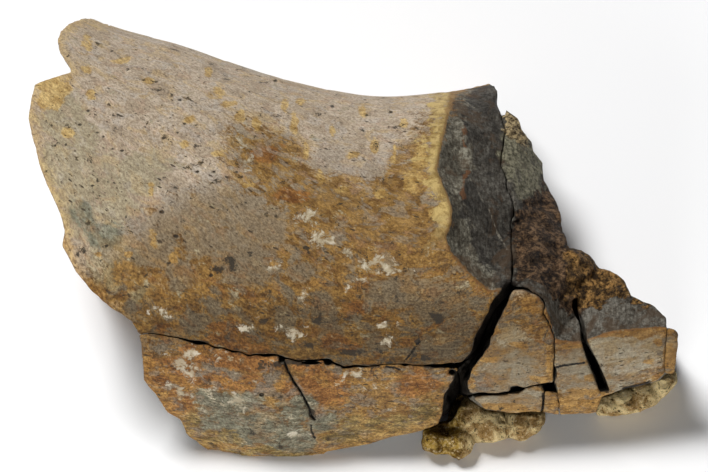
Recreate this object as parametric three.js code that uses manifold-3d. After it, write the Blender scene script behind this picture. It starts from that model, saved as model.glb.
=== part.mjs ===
import * as THREE from 'three';
import Module from 'manifold-3d';

// A split piece of fossil limb bone with its broken fragments and clinging rock matrix.
// It lies on its flat broken inner side, so the rounded outer wall faces up.
// X runs along the shaft, Y across it and Z up, all in millimetres.
//
// Outlines and cracks are drawn in a plane that leans back from the upright: u runs along
// the shaft, v up the leaning plane, and w out of it. Every crack runs straight along w.

const wasm = await Module();
wasm.setup();

// Lean of the drawing plane
const LEAN = THREE.MathUtils.degToRad(60);
const LEAN_SIN = Math.sin(LEAN);
const LEAN_COS = Math.cos(LEAN);
const W_ABOVE = 95;
const W_BELOW = -90;

// Outer wall of the shaft, at evenly spaced stations from the left end to the right
const FIRST_STATION = -96;
const STATION_STEP = 24;
const FAR_RIM = [137, 126, 119.5, 111.3, 105.5, 105.8, 111.5, 117, 122];
const NEAR_FOOT = [6, 4, 3, 0, 1.5, 2.5, 4, 6, 9];
const CREST_HEIGHT = [66, 64, 61, 58, 56, 57, 60, 62, 62];
const CREST_PLACE = [70, 65, 59, 55, 53, 53, 55, 57, 58];
const NEAR_FULLNESS = 2.3;
const FAR_FULLNESS = 2;
const SHAFT_HALF_LENGTH = 98;
const RING_COUNT = 46;
const POINTS_PER_RING = 36;
const WALL_RELIEF = 0.012;

// Broken outline of the whole piece. Where the rounded wall forms the edge, the line stays
// a few millimetres outside it.
const OUTLINE = [
  [43.5, 103.5], [43.5, 107.5], [42, 109.8], [36, 114], [0, 112], [-32, 120], [-62, 130], [-70, 129],
  [-72, 126.6], [-76.5, 128], [-78.5, 128], [-82.5, 126.5], [-85, 124], [-86, 121], [-85.5, 118.5],
  [-84, 115.5], [-81.5, 112], [-88, 110], [-92, 108.5], [-93, 104.5], [-94, 98.5], [-93, 95], [-91, 86.5],
  [-88, 78.5], [-85, 72], [-83, 66], [-84, 61.5], [-80.5, 55.5], [-76.5, 49.5], [-72, 45.5], [-68, 42.5],
  [-64, 40], [-62, 36.5], [-61, 34], [-60.5, 22.5], [-57, 18.5], [-54, 13.5], [-50, 11], [-48.5, 7],
  [-42.5, 2.5], [-38, -9], [3, -9], [5, 4.1],
  [10.7, 6], [13.3, 6.5], [20.2, 8], [24.8, 9.8], [30, 11.5], [36, 13.1], [55, 13.1], [59.8, 12.6],
  [70.8, 13.2], [80, 15], [93, 20], [93, 24], [94, 33], [94, 36], [93, 37.5], [90.5, 38], [90.5, 40.5],
  [87, 44], [83, 46], [80.5, 47], [78, 52], [74.5, 54.5], [71.5, 55], [68.5, 59], [66, 60.5], [62.5, 61],
  [61, 66], [60.5, 70], [58.5, 75.5], [55.5, 80.5], [55.5, 83], [55, 86], [52.5, 89], [52, 91.5],
  [49.5, 95], [48, 98.5], [44.5, 101.5],
];

// Broken sides below the outline: depths of the levels, lean towards a middle point, and dips.
// Right of the last value the depths count from the broken face, elsewhere from the outer wall.
const SIDE_DEPTHS = [-1, 5, 12, 20, 29, 39, 50, 64, 90];
const DRAFT_CENTRE = [0, 40];
const DRAFT_PER_MM = 0.0007;
const SIDE_ROUGHNESS = 4.5;
const SIDE_ROUGHNESS_START = 12;
const BROKEN_TOP_START = 55;

// Cracks that part the fragments
const CRACK_HALF_WIDTH = 0.28;
const LONG_CRACK = [
  [-61, 36], [-57.5, 36.5], [-46, 34], [-34, 31], [-30, 30], [-22, 30], [-15.5, 28.5], [-7.5, 28.8],
  [-2.5, 26.5], [14.5, 27.5], [19.5, 27], [30.5, 26],
];
const UPRIGHT_CRACK = [
  [30.5, 26], [33.6, 28.4], [36.2, 31.8], [38, 36.2], [40.3, 40.8], [42.6, 45.6], [45.6, 50],
  [46, 56], [45.5, 60.5], [46.5, 70.5], [46, 75], [45, 80.5], [43.5, 85], [43, 98], [44, 103],
];
const LOWER_CRACK = [
  [30.5, 26], [30.8, 22.5], [30, 19], [28.6, 15.5], [26.8, 10.8],
];

// Openings, widest at the surface: v, then u of the left and right edge, and how deep they close
const WIDE_GAP = [
  [51, 44.7, 45.2], [50, 44.3, 46.5], [46, 40.5, 45], [40.5, 38, 42.5], [36, 35.4, 40.6],
  [31.5, 34, 38.5], [27, 30.6, 35.2], [22.5, 28.5, 33], [18.5, 26.3, 33.5], [15.5, 26, 31],
  [9.4, 25, 28.4],
];
const WIDE_GAP_DEPTH = 26;
const NARROW_GAP = [
  [46, 63.6, 66], [43, 63.9, 65.6], [38.5, 64.8, 66.5], [34, 65.9, 67.6], [28.5, 67.6, 70.5],
  [23, 69.8, 73], [19.4, 71.2, 74.3],
];
const NARROW_GAP_DEPTH = 17;
const OPENING_SHARE = 0.55;
const HAIRLINE = [
  [29.8, -20.4, -19.6], [25.5, -19.4, -18.6], [20.5, -16.9, -16.1], [15, -13.4, -12.6],
  [11.5, -12.2, -11.2], [8, -12.3, -11.7], [2, -11.3, -10.7],
];
const HAIRLINE_DEPTH = 2.4;

// The broken face: its edge on the outer wall, and how fast it falls away behind that edge
const BREAK_EDGE = [
  [29.5, 128], [28.5, 107], [26.5, 96.5], [24.5, 86.5], [24, 83.5], [26.5, 77.5], [28.2, 72.5],
  [28, 68.5], [26.5, 64], [28, 59.5], [33, 54], [39, 48.5], [46.5, 48.8], [50, 48.8], [53.8, 47],
  [55.2, 44], [57, 38.5], [58.3, 34.6], [64.5, 33.4], [69.6, 35], [75, 36.8], [86.7, 38], [110, 38],
];
const BREAK_FALL = 0.8;
const BREAK_FALL_LOW_WALL = 1.15;
const BREAK_LEDGE = 2.2;
const BREAK_LEDGE_RUN = 1.5;
const BREAK_ROUGHNESS = 2.4;
const BREAK_STEP = 3.2;

// Fragments of the near wall and the end of the low wall
const WEDGE_CHIP = [
  [46.4, 49], [50, 48.7], [53.6, 46.8], [55.1, 44.2], [54.7, 42], [56.6, 38.4], [57.8, 35],
  [57.9, 22.3], [54, 22], [50, 21], [47.5, 21.5], [45, 19.5], [39, 19], [30.3, 18.6],
];
const STRIP_CHIP = [
  [34.2, 18.1], [35.9, 16], [38.3, 14.1], [45, 13.3], [54.6, 13.7], [54.9, 19.4], [54.3, 21.4],
  [50, 20.4], [48.4, 19.4], [45, 18.8], [39, 18.4],
];
const CORNER_CHIP = [
  [55.4, 13.5], [55.4, 19.1], [58.9, 18.9], [59.3, 13.8], [59.2, -9], [55.4, -9],
];
const LOW_WALL_FOOT = [
  [58.4, 34.8], [58.4, 22.2], [59.3, 19], [59.8, 13], [59.8, -9], [70.6, -9], [70.8, 14],
  [71.7, 18], [78, 20.3], [83.2, 21.5], [87.7, 22.6], [90, 24.8], [90.3, 38.2],
];
const END_FLAKE = [
  [90.7, 38.4], [90.4, 24.8], [93.6, 24.8], [96, 38.4],
];

// Rock matrix at the foot: outline, then u, v, radius and rise of each lump, and the matrix
// that floors the wide gap
const LEFT_MATRIX = [
  [20.8, 7.9], [20.5, 3], [24, 1.5], [28, 1.5], [30.5, 0], [33.5, 1.5], [35, 5], [40.5, 5], [45.5, 6.5],
  [49.5, 5.5], [53, 7.5], [55, 11], [55, 13], [45, 12.8], [38, 13.6], [35.5, 15.5], [33.5, 17.8],
  [31, 15.2], [29.3, 11.2], [27.8, 10.2], [25, 9.9], [22.4, 8.6],
];
const LEFT_LUMPS = [
  [23.5, 5, 5, 4], [30.5, 4.5, 5, 4.5], [33, 12, 6, 4], [41, 9, 6, 3.5], [48, 9.5, 5, 3], [53, 10, 4, 2.5],
];
const LEFT_BED = 3.5;
const GAP_FILL = [
  [27.6, 10.3], [29.1, 15.2], [30.4, 18.2], [33.6, 18.1], [34.5, 16], [33, 12], [30, 9.5],
];
const GAP_FILL_BED = -5;
const RIGHT_MATRIX = [
  [71, 12.8], [77, 13], [83, 14], [87.5, 16], [92, 20.3], [93.4, 22.5], [93.2, 24.4], [90.2, 24.4],
  [87.9, 22.2], [83.3, 21.1], [78.2, 19.9], [72, 17.6], [71.1, 14],
];
const RIGHT_LUMPS = [
  [74, 15, 4, 3], [79, 16.5, 4.5, 3.5], [85, 18, 4.5, 3], [90, 21.5, 4, 3],
];
const RIGHT_BED = 1.5;
const MATRIX_STEP = 2;

const MATERIALS = {
  outerBone: { color: 0x85715c, roughness: 0.8 },
  lowerBone: { color: 0x6f6558, roughness: 0.8 },
  brokenBone: { color: 0x4a4238, roughness: 0.9 },
  chipBone: { color: 0x726858, roughness: 0.85 },
  matrix: { color: 0x8a6a3c, roughness: 0.95 },
};

// Point in the leaning drawing plane, as a place in the part
function place(u, v, w) {
  return [u, v * LEAN_SIN - w * LEAN_COS, v * LEAN_COS + w * LEAN_SIN];
}

// Smooth value between evenly spaced stations
function alongShaft(values, x) {
  const last = values.length - 1;
  const position = THREE.MathUtils.clamp((x - FIRST_STATION) / STATION_STEP, 0, last - 1e-6);
  const index = Math.floor(position);
  const t = position - index;
  const before = values[Math.max(index - 1, 0)];
  const from = values[index];
  const to = values[index + 1];
  const after = values[Math.min(index + 2, last)];
  const startSlope = (to - before) / 2;
  const endSlope = (after - from) / 2;
  const cubic = 2 * (from - to) + startSlope + endSlope;
  const square = 3 * (to - from) - 2 * startSlope - endSlope;
  return ((cubic * t + square) * t + startSlope) * t + from;
}

// Cross-section of the shaft: a crest between a near foot and a far foot, both on the ground
function sectionAt(x) {
  const foot = alongShaft(NEAR_FOOT, x) / LEAN_SIN;
  const crest = alongShaft(CREST_PLACE, x);
  const height = alongShaft(CREST_HEIGHT, x);
  const rim = alongShaft(FAR_RIM, x) - crest * LEAN_SIN;
  const far = Math.sqrt(rim ** 2 - (height * LEAN_COS) ** 2) / LEAN_SIN;
  return { crest, height, near: crest - foot, far };
}

// Below 1 inside the shaft's cross-section, above 1 outside
function sectionLevel(section, v, w) {
  const y = v * LEAN_SIN - w * LEAN_COS;
  const z = v * LEAN_COS + w * LEAN_SIN;
  const isNear = y < section.crest;
  const reach = isNear ? section.near : section.far;
  const fullness = isNear ? NEAR_FULLNESS : FAR_FULLNESS;
  const across = Math.abs(y - section.crest) / reach;
  const up = Math.abs(z) / section.height;
  return across ** fullness + up ** fullness;
}

// Height of the outer wall over the drawing plane
function outerWall(u, v) {
  const section = sectionAt(u);
  let low = W_BELOW;
  let high = W_ABOVE;
  while (high - low > 0.01) {
    const third = (high - low) / 3;
    if (sectionLevel(section, v, low + third) < sectionLevel(section, v, high - third)) {
      high -= third;
    } else {
      low += third;
    }
  }
  let inside = low;
  let outside = W_ABOVE;
  while (outside - inside > 0.01) {
    const middle = (inside + outside) / 2;
    if (sectionLevel(section, v, middle) < 1) {
      inside = middle;
    } else {
      outside = middle;
    }
  }
  return inside;
}

// Gentle swells, between -1 and 1
function swell(a, b, c) {
  const first = Math.sin(a * 0.21 + Math.sin(b * 0.17 + 1.3) * 1.7);
  const second = Math.sin(b * 0.29 + Math.sin(c * 0.23 + 0.4) * 1.9 + 2.1);
  const third = Math.sin(c * 0.31 + Math.sin(a * 0.37 + 2.2) * 1.3 + 0.7);
  return (first + second + third) / 3;
}

function distanceToLine(line, u, v) {
  const point = new THREE.Vector3(u, v, 0);
  const closest = new THREE.Vector3();
  const best = { distance: Infinity, side: 1 };
  for (let i = 0; i + 1 < line.length; i += 1) {
    const start = new THREE.Vector3(...line[i], 0);
    const end = new THREE.Vector3(...line[i + 1], 0);
    new THREE.Line3(start, end).closestPointToPoint(point, true, closest);
    const distance = closest.distanceTo(point);
    if (distance < best.distance) {
      const along = end.sub(start);
      const offset = point.clone().sub(start);
      best.distance = distance;
      best.side = along.x * offset.y - along.y * offset.x > 0 ? 1 : -1;
    }
  }
  return best.distance * best.side;
}

function solidFrom(points, faces) {
  const mesh = new wasm.Mesh({
    numProp: 3,
    vertProperties: new Float32Array(points.flat()),
    triVerts: new Uint32Array(faces.flat()),
  });
  return new wasm.Manifold(mesh);
}

// Height of the broken face over the drawing plane, above the outer wall in front of its edge
function brokenFace(u, v) {
  const behind = distanceToLine(BREAK_EDGE, u, v);
  const lowWall = THREE.MathUtils.smoothstep(u, 45, 60);
  const fall = THREE.MathUtils.lerp(BREAK_FALL, BREAK_FALL_LOW_WALL, lowWall);
  const ledge = BREAK_LEDGE * (1 - Math.exp(-Math.max(behind, 0) / BREAK_LEDGE_RUN));
  const rough = BREAK_ROUGHNESS * THREE.MathUtils.smoothstep(behind, 1, 7);
  return outerWall(u, v) - fall * behind - ledge + rough * swell(u * 2.3, v * 2.1, u - v);
}

// Closed solid through a stack of loops with equal point counts, the first loop on top
function stackLoops(loops, capOutline) {
  const count = loops[0].length;
  const points = loops.flat();
  const faces = [];
  for (let level = 0; level + 1 < loops.length; level += 1) {
    for (let i = 0; i < count; i += 1) {
      const next = (i + 1) % count;
      const upper = level * count;
      const lower = upper + count;
      faces.push([upper + i, lower + i, lower + next]);
      faces.push([upper + i, lower + next, upper + next]);
    }
  }
  const contour = capOutline.map(([u, v]) => new THREE.Vector2(u, v));
  const bottom = (loops.length - 1) * count;
  for (const [a, b, c] of THREE.ShapeUtils.triangulateShape(contour, [])) {
    faces.push([a, b, c]);
    faces.push([bottom + a, bottom + c, bottom + b]);
  }
  return solidFrom(points, faces);
}

function counterClockwise(outline) {
  const contour = outline.map(([u, v]) => new THREE.Vector2(u, v));
  return THREE.ShapeUtils.isClockWise(contour) ? [...outline].reverse() : outline;
}

// Straight-sided column over an outline in the drawing plane
function column(outline) {
  const ring = counterClockwise(outline);
  const loops = [W_ABOVE, W_BELOW].map((w) => ring.map(([u, v]) => place(u, v, w)));
  return stackLoops(loops, ring);
}

// Column with rough broken sides that draw in with depth below its upper face
function brokenColumn(outline) {
  const ring = counterClockwise(outline);
  const tops = ring.map(([u, v]) => {
    const wall = outerWall(u, v);
    return u > BROKEN_TOP_START ? Math.min(wall, brokenFace(u, v)) : wall;
  });
  const loopAt = (depth) => ring.map(([u, v], i) => {
    const w = tops[i] - depth;
    const rough = THREE.MathUtils.smoothstep(depth, 0, SIDE_ROUGHNESS_START) * SIDE_ROUGHNESS;
    const dip = rough * (1 + swell(u * 2.1, v * 2.1, w * 1.4)) / 2;
    const fromCentre = new THREE.Vector2(u - DRAFT_CENTRE[0], v - DRAFT_CENTRE[1]);
    fromCentre.multiplyScalar(1 - DRAFT_PER_MM * Math.max(depth, 0));
    fromCentre.setLength(fromCentre.length() - dip);
    return place(fromCentre.x + DRAFT_CENTRE[0], fromCentre.y + DRAFT_CENTRE[1], w);
  });
  const top = ring.map(([u, v]) => place(u, v, W_ABOVE));
  return stackLoops([top, ...SIDE_DEPTHS.map(loopAt)], ring);
}

// Wedge-shaped opening: full width at the outer wall, closed at its depth or above the ground
function opening(rows, depth) {
  const left = rows.map(([v, uLeft, uRight]) => ({ v, u: uLeft, closedU: (uLeft + uRight) / 2 - 0.15 }));
  const right = rows.map(([v, uLeft, uRight]) => ({ v, u: uRight, closedU: (uLeft + uRight) / 2 + 0.15 }));
  const ring = [...left, ...right.reverse()];
  const walls = ring.map(({ u, v }) => outerWall(u, v));
  const top = ring.map(({ u, v }) => place(u, v, W_ABOVE));
  const surface = ring.map(({ u, v }, i) => place(u, v, walls[i] + 1));
  const bottom = ring.map(({ closedU, v }, i) => {
    const toGround = Math.max(walls[i] + v * LEAN_COS / LEAN_SIN, 1);
    return place(closedU, v, walls[i] - Math.min(depth, OPENING_SHARE * toGround));
  });
  return stackLoops([top, surface, bottom], ring.map(({ u, v }) => [u, v]));
}

// Solid between a height field and a flat level, over a box in the drawing plane
function fieldSolid(box, step, height, level) {
  const columns = Math.round((box.uMax - box.uMin) / step);
  const rows = Math.round((box.vMax - box.vMin) / step);
  const points = [];
  for (let row = 0; row <= rows; row += 1) {
    for (let column = 0; column <= columns; column += 1) {
      const u = box.uMin + (box.uMax - box.uMin) * column / columns;
      const v = box.vMin + (box.vMax - box.vMin) * row / rows;
      points.push([u, v, height(u, v)]);
    }
  }
  const count = points.length;
  const flat = points.map(([u, v]) => [u, v, level]);
  const faces = [];
  const addQuad = (a, b, c, d) => {
    faces.push([a, b, c]);
    faces.push([a, c, d]);
  };
  const at = (column, row) => row * (columns + 1) + column;
  for (let row = 0; row < rows; row += 1) {
    for (let column = 0; column < columns; column += 1) {
      const a = at(column, row);
      const b = at(column + 1, row);
      const c = at(column + 1, row + 1);
      const d = at(column, row + 1);
      addQuad(a, b, c, d);
      addQuad(count + a, count + d, count + c, count + b);
    }
  }
  const addSide = (a, b) => addQuad(a, count + a, count + b, b);
  for (let column = 0; column < columns; column += 1) {
    addSide(at(column, 0), at(column + 1, 0));
    addSide(at(column + 1, rows), at(column, rows));
  }
  for (let row = 0; row < rows; row += 1) {
    addSide(at(columns, row), at(columns, row + 1));
    addSide(at(0, row + 1), at(0, row));
  }
  const fieldIsAbove = points[0][2] > level;
  const outward = fieldIsAbove ? faces : faces.map(([a, b, c]) => [a, c, b]);
  const placed = [...points, ...flat].map(([u, v, w]) => place(u, v, w));
  return solidFrom(placed, outward);
}

// The shaft's rounded wall as a closed solid on flat ground
function shaftSolid() {
  const loops = [];
  for (let ring = 0; ring < RING_COUNT; ring += 1) {
    const x = -SHAFT_HALF_LENGTH + 2 * SHAFT_HALF_LENGTH * ring / (RING_COUNT - 1);
    const section = sectionAt(x);
    const loop = [];
    for (let i = 0; i < POINTS_PER_RING; i += 1) {
      const angle = Math.PI * i / (POINTS_PER_RING - 1);
      const isNear = angle < Math.PI / 2;
      const reach = isNear ? -section.near : section.far;
      const power = 2 / (isNear ? NEAR_FULLNESS : FAR_FULLNESS);
      const up = section.height * Math.sin(angle) ** power;
      const across = reach * Math.abs(Math.cos(angle)) ** power;
      const relief = 1 + WALL_RELIEF * swell(x * 1.4, angle * 40, up) * Math.sin(angle);
      const isFoot = i === 0 || i === POINTS_PER_RING - 1;
      loop.push([x, section.crest + across * relief, isFoot ? 0 : up * relief]);
    }
    loops.push(loop);
  }
  const capOutline = loops[0].map(([, y, z]) => [-y, z]);
  return stackLoops(loops, counterClockwise(capOutline));
}

// Everything above the broken face
function brokenAway() {
  const box = { uMin: 18, uMax: 98, vMin: -10, vMax: 126 };
  return fieldSolid(box, BREAK_STEP, brokenFace, W_ABOVE);
}

// Lumpy matrix standing on the ground inside an outline
function matrixSolid(outline, lumps, bed) {
  const us = outline.map(([u]) => u);
  const vs = outline.map(([, v]) => v);
  const box = {
    uMin: Math.min(...us) - 1,
    uMax: Math.max(...us) + 1,
    vMin: Math.min(...vs) - 1,
    vMax: Math.max(...vs) + 1,
  };
  const field = (u, v) => {
    const rises = lumps.map(([lumpU, lumpV, radius, rise]) => {
      const share = ((u - lumpU) ** 2 + (v - lumpV) ** 2) / radius ** 2;
      return rise * Math.max(0, 1 - share);
    });
    return bed + Math.max(0, ...rises) + 0.5 * swell(u * 5, v * 5, u + v);
  };
  const lumpy = fieldSolid(box, MATRIX_STEP, field, W_BELOW);
  return lumpy.intersect(column(outline)).intersect(aboveGround());
}

function aboveGround() {
  const wide = 300;
  const ring = [[-wide, -wide], [wide, -wide], [wide, wide], [-wide, wide]];
  const loops = [wide, 0].map((z) => ring.map(([x, y]) => [x, y, z]));
  return stackLoops(loops, ring);
}

function largestPiece(solid) {
  const pieces = solid.decompose();
  pieces.sort((a, b) => b.volume() - a.volume());
  return pieces[0];
}

function moved(line, du, dv) {
  return line.map(([u, v]) => [u + du, v + dv]);
}

function addNode(group, name, solid, finish) {
  const { vertProperties, triVerts } = largestPiece(solid).getMesh();
  const geometry = new THREE.BufferGeometry();
  geometry.setAttribute('position', new THREE.BufferAttribute(vertProperties, 3));
  geometry.setIndex(new THREE.BufferAttribute(triVerts, 1));
  const flat = geometry.toNonIndexed();
  flat.computeVertexNormals();
  const material = new THREE.MeshStandardMaterial({ ...finish, metalness: 0 });
  const mesh = new THREE.Mesh(flat, material);
  mesh.name = name;
  group.add(mesh);
}

const HALF = CRACK_HALF_WIDTH;
const bone = shaftSolid().intersect(brokenColumn(OUTLINE)).subtract(brokenAway());
const wideGap = opening(WIDE_GAP, WIDE_GAP_DEPTH);
const narrowGap = opening(NARROW_GAP, NARROW_GAP_DEPTH);
const hairline = opening(HAIRLINE, HAIRLINE_DEPTH);

const upperShaftRegion = [
  [-130, 160], [-130, 36.3], ...moved(LONG_CRACK, 0, HALF).slice(0, -1),
  ...moved(UPRIGHT_CRACK, -HALF, 0).slice(1), [44, 160],
];
const lowerWallRegion = [
  [-130, -20], [-130, 35.7], ...moved(LONG_CRACK, 0, -HALF).slice(0, -1),
  ...moved(LOWER_CRACK, -HALF, 0), [24.8, 10.2], [22.3, 8.9], [20.2, 8.3], [20.2, -20],
];
const rightBlockRegion = [
  ...moved(UPRIGHT_CRACK, HALF, 0).slice(6), [44.6, 160], [130, 160], [130, 38.9], [91.2, 38.9],
  ...[...LOW_WALL_FOOT].reverse(), ...moved(WEDGE_CHIP, 0.5, 0.35).slice(1, 6).reverse(),
];
const wedgeChipRegion = [
  ...WEDGE_CHIP, ...moved(LOWER_CRACK, HALF, 0).slice(1, 2), ...moved(UPRIGHT_CRACK, HALF, 0).slice(0, 6),
];

const part = new THREE.Group();
part.name = 'fossil_bone_section';
addNode(part, 'upper_shaft', bone.intersect(column(upperShaftRegion)).subtract(wideGap), MATERIALS.outerBone);
addNode(
  part, 'lower_wall',
  bone.intersect(column(lowerWallRegion)).subtract(wideGap).subtract(hairline), MATERIALS.lowerBone,
);
addNode(
  part, 'right_block',
  bone.intersect(column(rightBlockRegion)).subtract(wideGap).subtract(narrowGap), MATERIALS.brokenBone,
);
addNode(part, 'wedge_chip', bone.intersect(column(wedgeChipRegion)).subtract(wideGap), MATERIALS.chipBone);
addNode(part, 'strip_chip', bone.intersect(column(STRIP_CHIP)), MATERIALS.chipBone);
addNode(part, 'corner_chip', bone.intersect(column(CORNER_CHIP)), MATERIALS.chipBone);
addNode(part, 'end_flake', bone.intersect(column(END_FLAKE)), MATERIALS.brokenBone);
addNode(
  part, 'left_matrix',
  matrixSolid(LEFT_MATRIX, LEFT_LUMPS, LEFT_BED).add(matrixSolid(GAP_FILL, [], GAP_FILL_BED)),
  MATERIALS.matrix,
);
addNode(part, 'right_matrix', matrixSolid(RIGHT_MATRIX, RIGHT_LUMPS, RIGHT_BED), MATERIALS.matrix);

// The finished part stands over the origin
const middle = new THREE.Box3().setFromObject(part).getCenter(new THREE.Vector3());
for (const mesh of part.children) {
  mesh.geometry.translate(-middle.x, -middle.y, 0);
}

export default part;
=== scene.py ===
import copy
import itertools
import math
import bpy
import numpy as np
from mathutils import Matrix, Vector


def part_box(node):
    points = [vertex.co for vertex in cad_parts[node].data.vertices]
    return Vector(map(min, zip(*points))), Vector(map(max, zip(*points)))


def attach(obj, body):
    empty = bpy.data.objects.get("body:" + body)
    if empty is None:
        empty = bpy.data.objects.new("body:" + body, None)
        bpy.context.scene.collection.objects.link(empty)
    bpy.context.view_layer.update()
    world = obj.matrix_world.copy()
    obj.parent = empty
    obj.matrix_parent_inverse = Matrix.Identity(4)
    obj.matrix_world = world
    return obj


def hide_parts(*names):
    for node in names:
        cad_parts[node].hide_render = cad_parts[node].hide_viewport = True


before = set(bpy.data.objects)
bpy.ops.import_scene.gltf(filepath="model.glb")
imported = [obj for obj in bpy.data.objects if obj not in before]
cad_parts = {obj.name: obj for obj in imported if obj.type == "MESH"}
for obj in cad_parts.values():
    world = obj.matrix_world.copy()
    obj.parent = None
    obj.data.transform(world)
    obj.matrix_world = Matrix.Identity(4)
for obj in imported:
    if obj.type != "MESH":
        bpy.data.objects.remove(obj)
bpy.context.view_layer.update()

# A split piece of fossil limb bone that lies on its flat broken inner side.
#
# The fragments are modelled in a plane that leans back from the upright: u runs along the
# shaft, v up the leaning plane and w out of it, in millimetres. The camera looks straight
# down w, so outlines, cracks and spots are placed as the photograph shows them.

MM = 0.001
LEAN = math.radians(60)
LEAN_SIN = math.sin(LEAN)
LEAN_COS = math.cos(LEAN)

# Picture scale
MM_PER_PIXEL = 0.29
PICTURE_MIDDLE_X = 353
PICTURE_FOOT_Y = 458
PICTURE_SIZE = (708, 472)

# Outer wall of the shaft, at evenly spaced stations from the left end to the right
FIRST_STATION = -96
STATION_STEP = 24
FAR_RIM = [137, 126, 119.5, 111.3, 105.5, 105.8, 111.5, 117, 122]
NEAR_FOOT = [6, 4, 3, 0, 1.5, 2.5, 4, 6, 9]
CREST_HEIGHT = [66, 64, 61, 58, 56, 57, 60, 62, 62]
CREST_PLACE = [70, 65, 59, 55, 53, 53, 55, 57, 58]
NEAR_FULLNESS = 2.3
FAR_FULLNESS = 2.0
LOWEST_WALL = -90
HIGHEST_WALL = 95
WALL_PEAK_STEPS = 30
WALL_EDGE_STEPS = 22

# Broken outline of the whole piece. Where the rounded wall forms the edge, the line stays
# a few millimetres outside it.
OUTLINE = [
    (43.5, 103.5), (43.5, 107.5), (42, 109.8), (36, 114), (0, 112), (-32, 120), (-62, 130),
    (-70, 129), (-72, 126.6), (-76.5, 128), (-78.5, 128), (-82.5, 126.5), (-85, 124), (-86, 121),
    (-85.5, 118.5), (-84, 115.5), (-81.5, 112), (-88, 110), (-92, 108.5), (-93, 104.5),
    (-94, 98.5), (-93, 95), (-91, 86.5), (-88, 78.5), (-85, 72), (-83, 66), (-84, 61.5),
    (-80.5, 55.5), (-76.5, 49.5), (-72, 45.5), (-68, 42.5), (-64, 40), (-62, 36.5), (-61, 34),
    (-60.5, 22.5), (-57, 18.5), (-54, 13.5), (-50, 11), (-48.5, 7), (-42.5, 2.5), (-38, -9),
    (-10, -9), (-8, 1.6), (-2.3, 2.8), (5, 4.1), (10.7, 6), (13.3, 6.5), (20.2, 8),
    (24.8, 9.8), (30, 11.5), (36, 13.1), (55, 13.1), (59.8, 12.6), (70.8, 13.2), (80, 15),
    (93, 20), (93, 24), (94, 33), (94, 36), (93, 37.5), (90.5, 38),
    (90.5, 40.5), (87, 44), (83, 46), (80.5, 47), (78, 52), (74.5, 54.5), (71.5, 55), (68.5, 59),
    (66, 60.5), (62.5, 61), (61, 66), (60.5, 70), (58.5, 75.5), (55.5, 80.5), (55.5, 83), (55, 86),
    (52.5, 89), (52, 91.5), (49.5, 95), (48, 98.5), (44.5, 101.5),
]
SIDE_LEAN = 0.04
SIDE_ROUGHNESS = 3.2

# Cracks that part the fragments
CRACK_HALF_WIDTH = 0.28
LONG_CRACK = [
    (-61, 36), (-57.5, 36.5), (-46, 34), (-34, 31), (-30, 30), (-22, 30), (-15.5, 28.5),
    (-7.5, 28.8), (-2.5, 26.5), (14.5, 27.5), (19.5, 27), (30.5, 26),
]
UPRIGHT_CRACK = [
    (30.5, 26), (33.6, 28.4), (36.2, 31.8), (38, 36.2), (40.3, 40.8), (42.6, 45.6), (45.6, 50),
    (46, 56), (45.5, 60.5), (46.5, 70.5), (46, 75), (45, 80.5), (43.5, 85), (43, 98), (44, 103),
]
LOWER_CRACK = [(30.5, 26), (30.8, 22.5), (30, 19), (28.6, 15.5), (26.8, 10.8)]

# Openings, widest at the surface: v, then u of the left and right edge
WIDE_GAP = [
    (51, 44.7, 45.2), (50, 44.3, 46.5), (46, 40.5, 45), (40.5, 38, 42.5), (36, 35.4, 40.6),
    (31.5, 34, 38.5), (27, 30.6, 35.2), (22.5, 28.5, 33), (18.5, 26.3, 33.5), (15.5, 26, 31),
    (9.4, 25, 28.4),
]
NARROW_GAP = [
    (46, 63.6, 66), (43, 63.9, 65.6), (38.5, 64.8, 66.5), (34, 65.9, 67.6), (28.5, 67.6, 70.5),
    (23, 69.8, 73), (19.4, 71.2, 74.3),
]

# The broken face: its edge on the outer wall, and how fast it falls away behind that edge
BREAK_EDGE = [
    (29.5, 128), (28.5, 107), (26.5, 96.5), (24.5, 86.5), (24, 83.5), (26.5, 77.5), (28.2, 72.5),
    (28, 68.5), (26.5, 64), (28, 59.5), (33, 54), (39, 48.5), (46.5, 48.8), (50, 48.8),
    (53.8, 47), (55.2, 44), (57, 38.5), (58.3, 34.6), (64.5, 33.4), (69.6, 35), (75, 36.8),
    (86.7, 38), (110, 38),
]
BREAK_FALL = 0.8
BREAK_FALL_LOW_WALL = 1.15
BREAK_LEDGE = 2.2
BREAK_LEDGE_RUN = 1.5

# Fragments of the near wall and the end of the low wall
WEDGE_CHIP = [
    (46.4, 49), (50, 48.7), (53.6, 46.8), (55.1, 44.2), (54.7, 42), (56.6, 38.4), (57.8, 35),
    (57.9, 22.3), (54, 22), (50, 21), (47.5, 21.5), (45, 19.5), (39, 19), (30.3, 18.6),
]
STRIP_CHIP = [
    (34.2, 18.1), (35.9, 16), (38.3, 14.1), (45, 13.3), (54.6, 13.7), (54.9, 19.4),
    (54.3, 21.4), (50, 20.4), (48.4, 19.4), (45, 18.8), (39, 18.4),
]
CORNER_CHIP = [
    (55.4, 13.5), (55.4, 19.1), (58.9, 18.9), (59.3, 13.8), (59.2, -9), (55.4, -9),
]
LOW_WALL_FOOT = [
    (58.4, 34.8), (58.4, 22.2), (59.3, 19), (59.8, 13), (59.8, -9), (70.6, -9), (70.8, 14),
    (71.7, 18), (78, 20.3), (83.2, 21.5), (87.7, 22.6), (90, 24.8), (90.3, 38.2),
]
END_FLAKE = [(90.7, 38.4), (90.4, 24.8), (93.6, 24.8), (96, 38.4)]

# Lines well outside the piece, where the fragments' outlines close
BEYOND_LEFT = -130
BEYOND_RIGHT = 130
BEYOND_TOP = 160
BEYOND_FOOT = -20

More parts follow.
